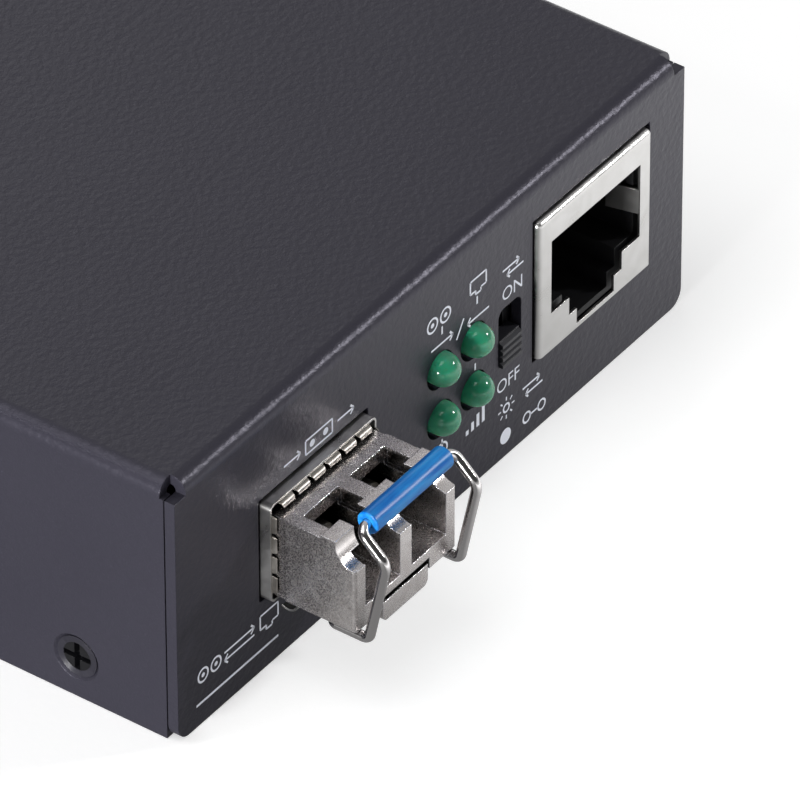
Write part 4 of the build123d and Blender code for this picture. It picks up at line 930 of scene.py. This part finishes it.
@dataclass
class ModuleCage:
    """The pressed cage with its collar of fingers, and the connector inside it."""

    sheet: float = 0.2 * MM
    reach: float = 0.42 * MM
    fullness: float = 0.86
    closing: float = 0.62
    inset: float = 0.24 * MM
    corner_room: float = 0.9 * MM
    top_count: int = 6
    side_count: int = 4
    steps: int = 8
    curl: float = 0.58 * math.pi  # the tip turns back a little past square
    taper: float = 0.22
    crease: float = math.radians(40)
    fingers: list[bpy.types.Object] = field(default_factory=list)

    def finger(self, root: Vector, inward: Vector, turn: float, width: float, drop: float) -> None:
        """Bends one finger from the collar's front edge over to the module.

        Args:
            root: The middle of its root at the collar's front edge.
            inward: The way from the collar to the module.
            turn: The angle from the panel's width to its root's edge, about the depth.
            width: Its width in metres.
            drop: How far inward its tip lies in metres.
        """
        clear_selection()
        bpy.ops.mesh.primitive_plane_add(size=width, location=root, rotation=(0, turn, 0))
        made = bpy.context.object
        bpy.ops.object.mode_set(mode="EDIT")
        bpy.ops.mesh.select_all(action="SELECT")
        bpy.ops.transform.resize(value=(1, 0, 1), center_override=root)  # only the root's edge is kept
        bpy.ops.mesh.remove_doubles(threshold=width / 10)
        bpy.ops.mesh.select_all(action="SELECT")
        place, spread = root, 1.0
        for step in range(1, self.steps + 1):
            share = step / self.steps
            bend = share * self.curl
            rise = Vector((0, -math.sin(bend) * self.reach, 0))
            ahead = root + rise + inward * ((1 - math.cos(bend)) * drop)
            narrow = 1.0 - self.taper * share
            bpy.ops.mesh.extrude_region_move(TRANSFORM_OT_translate={"value": ahead - place})
            bpy.ops.transform.resize(value=(narrow / spread,) * 3, center_override=ahead)
            place, spread = ahead, narrow
        bpy.ops.mesh.select_all(action="SELECT")
        bpy.ops.mesh.normals_make_consistent(inside=False)
        bpy.ops.object.mode_set(mode="OBJECT")
        thick = made.modifiers.new("sheet", "SOLIDIFY")
        thick.thickness = self.sheet / 2
        thick.offset = 0.0
        take(made)
        bpy.ops.object.modifier_apply(modifier="sheet")
        bpy.ops.object.shade_smooth_by_angle(angle=self.crease)
        self.fingers.append(made)

    def finger_rows(self) -> None:
        """Sets the rows of fingers over the top and down both sides of the collar's mouth."""
        low, high = (Vector(corner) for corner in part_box("cage_collar"))
        boxes = [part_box(name) for name in ("module_body", "module_shell")]
        left_face, right_face = min(box[0].x for box in boxes), max(box[1].x for box in boxes)
        top_face = max(box[1].z for box in boxes)
        pitch = (high.x - low.x - 2 * self.corner_room) / self.top_count
        drop = (high.z - self.inset - top_face) * self.closing
        for index in range(self.top_count):
            x = low.x + self.corner_room + (index + 0.5) * pitch
            self.finger(Vector((x, low.y, high.z - self.inset)), Vector((0, 0, -1)), 0.0,
                        pitch * self.fullness, drop)
        pitch = (high.z - low.z - 2 * self.corner_room) / self.side_count
        sides = ((low.x + self.inset, left_face, 1.0), (high.x - self.inset, right_face, -1.0))
        for edge, face, inward in sides:
            for index in range(self.side_count):
                z = low.z + self.corner_room + (index + 0.5) * pitch
                self.finger(Vector((edge, low.y, z)), Vector((inward, 0, 0)), math.pi / 2,
                            pitch * self.fullness, abs(face - edge) * self.closing)

    def build(self) -> None:
        """Dresses the cage's nodes and adds the finger tips at the collar's mouth."""
        dress_nodes(TINNED, "sfp_cage", "cage_collar", "cage_latch_spring")
        dress_nodes(SOCKET_PLASTIC, "sfp_connector")
        self.finger_rows()
        # The finger tips take the darker tin, a painted shade.
        settle(join(self.fingers), "collar_finger_tips", SHADED_FINGER_TIN, Body.CHASSIS)
        log.info("built collar_finger_tips of %d fingers", len(self.fingers))


@dataclass
class FibreModule:
    """The pluggable optical module: casting, cover, barrels, bail and rocker."""

    def build(self) -> None:
        """Dresses the module's nodes."""
        dress_nodes(NICKEL, "module_body", "latch_rocker")
        dress_nodes(TINNED, "module_shell")
        dress_nodes(WIRE, "bail_wire")
        dress_nodes(BLUE, "bail_sleeve")
        dress_nodes(FASTENER, "transmit_barrel", "receive_barrel", "rocker_pin")
        dress_nodes(LAMINATE, "module_board")


@dataclass
class CircuitBoard:
    """The board with its components, standoffs and screws, and the power inlet at its rear."""

    def build(self) -> None:
        """Dresses the board's nodes."""
        dress_nodes(LAMINATE, "circuit_board")
        dress_nodes(FASTENER, "standoffs", "board_screws", "crystal_can", "capacitors", "inlet_pin",
                    "inlet_spring")
        dress_nodes(CHIP, "main_chip", "line_transformer", "regulator")
        dress_nodes(FERRITE, "power_coil")
        dress_nodes(CERAMIC, "chip_parts")
        dress_nodes(SOCKET_PLASTIC, "inlet_body")


@dataclass(frozen=True)
class SoftLamp:
    """A square soft lamp: its name, place and side in metres, and power in watts."""

    name: str
    place: tuple[float, float, float]
    size: float
    power: float


LAMPS = (
    SoftLamp("key_lamp", (-0.25, 0.1, 0.75), 0.5, 2.1),
    SoftLamp("back_lamp", (0.5, 0.5, 0.47), 0.22, 0.22),
    SoftLamp("front_edge_lamp", (0.44, -0.44, 0.32), 0.05, 1.7),
    SoftLamp("left_edge_lamp", (-0.55, 0.42, 0.56), 0.06, 0.4),
    SoftLamp("left_lamp", (-0.9, -0.08, 0.09), 0.16, 13.5),
)


@dataclass
class Studio:
    """The camera at the photograph's angle, soft lamps, white floor and surround."""

    place: tuple[float, float, float] = (-0.608806, -0.485119, 0.616510)
    turn: tuple[float, float, float, float] = (0.8031391, 0.38472775, -0.1956003, -0.41072213)
    lens: float = 536.16
    sensor: float = 36.0
    shift: tuple[float, float] = (0.00138, 0.00206)
    sight: tuple[float, float] = (0.01, 50.0)
    aim: tuple[float, float, float] = (0.0, 0.0, 0.013)
    fill: float = 0.22
    panel_way: tuple[float, float, float] = (0.63, 0.457, 0.627)
    panel_spread: tuple[float, float] = (0.1, 0.85)
    panel_glow: tuple[float, float] = (0.05, 0.55)
    horizon: tuple[float, float] = (0.1, 0.3)
    horizon_glow: float = 0.5
    floor_size: float = 6.0
    floor_drop: float = 0.00005

    def camera(self) -> None:
        """Sets up the camera that was fitted to the photograph."""
        data = bpy.data.cameras.new("camera")
        made = bpy.data.objects.new("camera", data)
        bpy.context.scene.collection.objects.link(made)
        made.rotation_mode = "QUATERNION"
        made.location = self.place
        made.rotation_quaternion = Quaternion(self.turn)
        data.sensor_width = self.sensor
        data.lens = self.lens
        data.shift_x, data.shift_y = self.shift
        data.clip_start, data.clip_end = self.sight
        bpy.context.scene.camera = made

    def hang(self, lamp: SoftLamp) -> None:
        """Hangs one soft lamp that faces the object.

        Args:
            lamp: The lamp.
        """
        data = bpy.data.lights.new(lamp.name, "AREA")
        data.size = lamp.size
        data.energy = lamp.power
        made = bpy.data.objects.new(lamp.name, data)
        bpy.context.scene.collection.objects.link(made)
        made.location = lamp.place
        made.rotation_mode = "QUATERNION"
        made.rotation_quaternion = (Vector(self.aim) - Vector(lamp.place)).to_track_quat("-Z", "Y")

    def surround(self) -> None:
        """Makes a world that fills softly and is white to camera, mirror and glass rays."""
        world = bpy.data.worlds.new("surround")
        bpy.context.scene.world = world
        world.use_nodes = True
        tree = world.node_tree
        path = add_node(tree, "LightPath")
        clear = add_node(tree, "Math", {0: path.outputs["Is Camera Ray"],
                                        1: path.outputs["Is Transmission Ray"]}, operation="MAXIMUM")
        # Mirror rays see a large white panel behind the object, a white horizon and a dim room elsewhere.
        way = add_node(tree, "TexCoord").outputs["Generated"]
        toward = add_node(tree, "VectorMath", {0: way, 1: self.panel_way}, operation="DOT_PRODUCT")
        panel = add_node(tree, "MapRange", {"Value": toward.outputs["Value"],
                                            "From Min": self.panel_spread[0],
                                            "From Max": self.panel_spread[1],
                                            "To Min": self.panel_glow[0], "To Max": self.panel_glow[1]},
                         interpolation_type="SMOOTHSTEP")
        height = add_node(tree, "SeparateXYZ", {0: way})
        rim = add_node(tree, "MapRange", {"Value": height.outputs["Z"], "From Min": self.horizon[0],
                                          "From Max": self.horizon[1], "To Min": self.horizon_glow,
                                          "To Max": 0.0}, interpolation_type="SMOOTHSTEP")
        room = add_node(tree, "Math", {0: panel.outputs[0], 1: rim.outputs[0]}, operation="MAXIMUM")
        gloss = add_node(tree, "MapRange", {"Value": path.outputs["Is Glossy Ray"], "To Min": self.fill,
                                            "To Max": room.outputs[0]})
        strength = add_node(tree, "MapRange", {"Value": clear.outputs[0], "To Min": gloss.outputs[0],
                                               "To Max": 1.0})
        tree.nodes["Background"].inputs["Color"].default_value = (1, 1, 1, 1)
        tree.links.new(strength.outputs[0], tree.nodes["Background"].inputs["Strength"])

    def floor(self) -> None:
        """Lays the white floor under the object."""
        clear_selection()
        bpy.ops.mesh.primitive_plane_add(size=self.floor_size, location=(0, 0, -self.floor_drop))
        made = bpy.context.object
        made.name = "studio_floor"
        made.data.materials.append(PAPER.material())

    def build(self) -> None:
        """Sets up the whole studio."""
        self.camera()
        for lamp in LAMPS:
            self.hang(lamp)
        self.surround()
        self.floor()
        bpy.context.scene.view_settings.view_transform = "Standard"
        log.info("studio is set up")


def main() -> None:
    """Builds each sub-assembly in order, then the studio."""
    logging.basicConfig(level=logging.INFO, format="%(name)s: %(message)s")
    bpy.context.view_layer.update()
    for part in (Casing(), PanelPrint(), NetworkSocket(), LampGroup(), SlideSwitch(), ModuleCage(),
                 FibreModule(), CircuitBoard()):
        part.build()
    Studio().build()


if __name__ == "__main__":
    main()
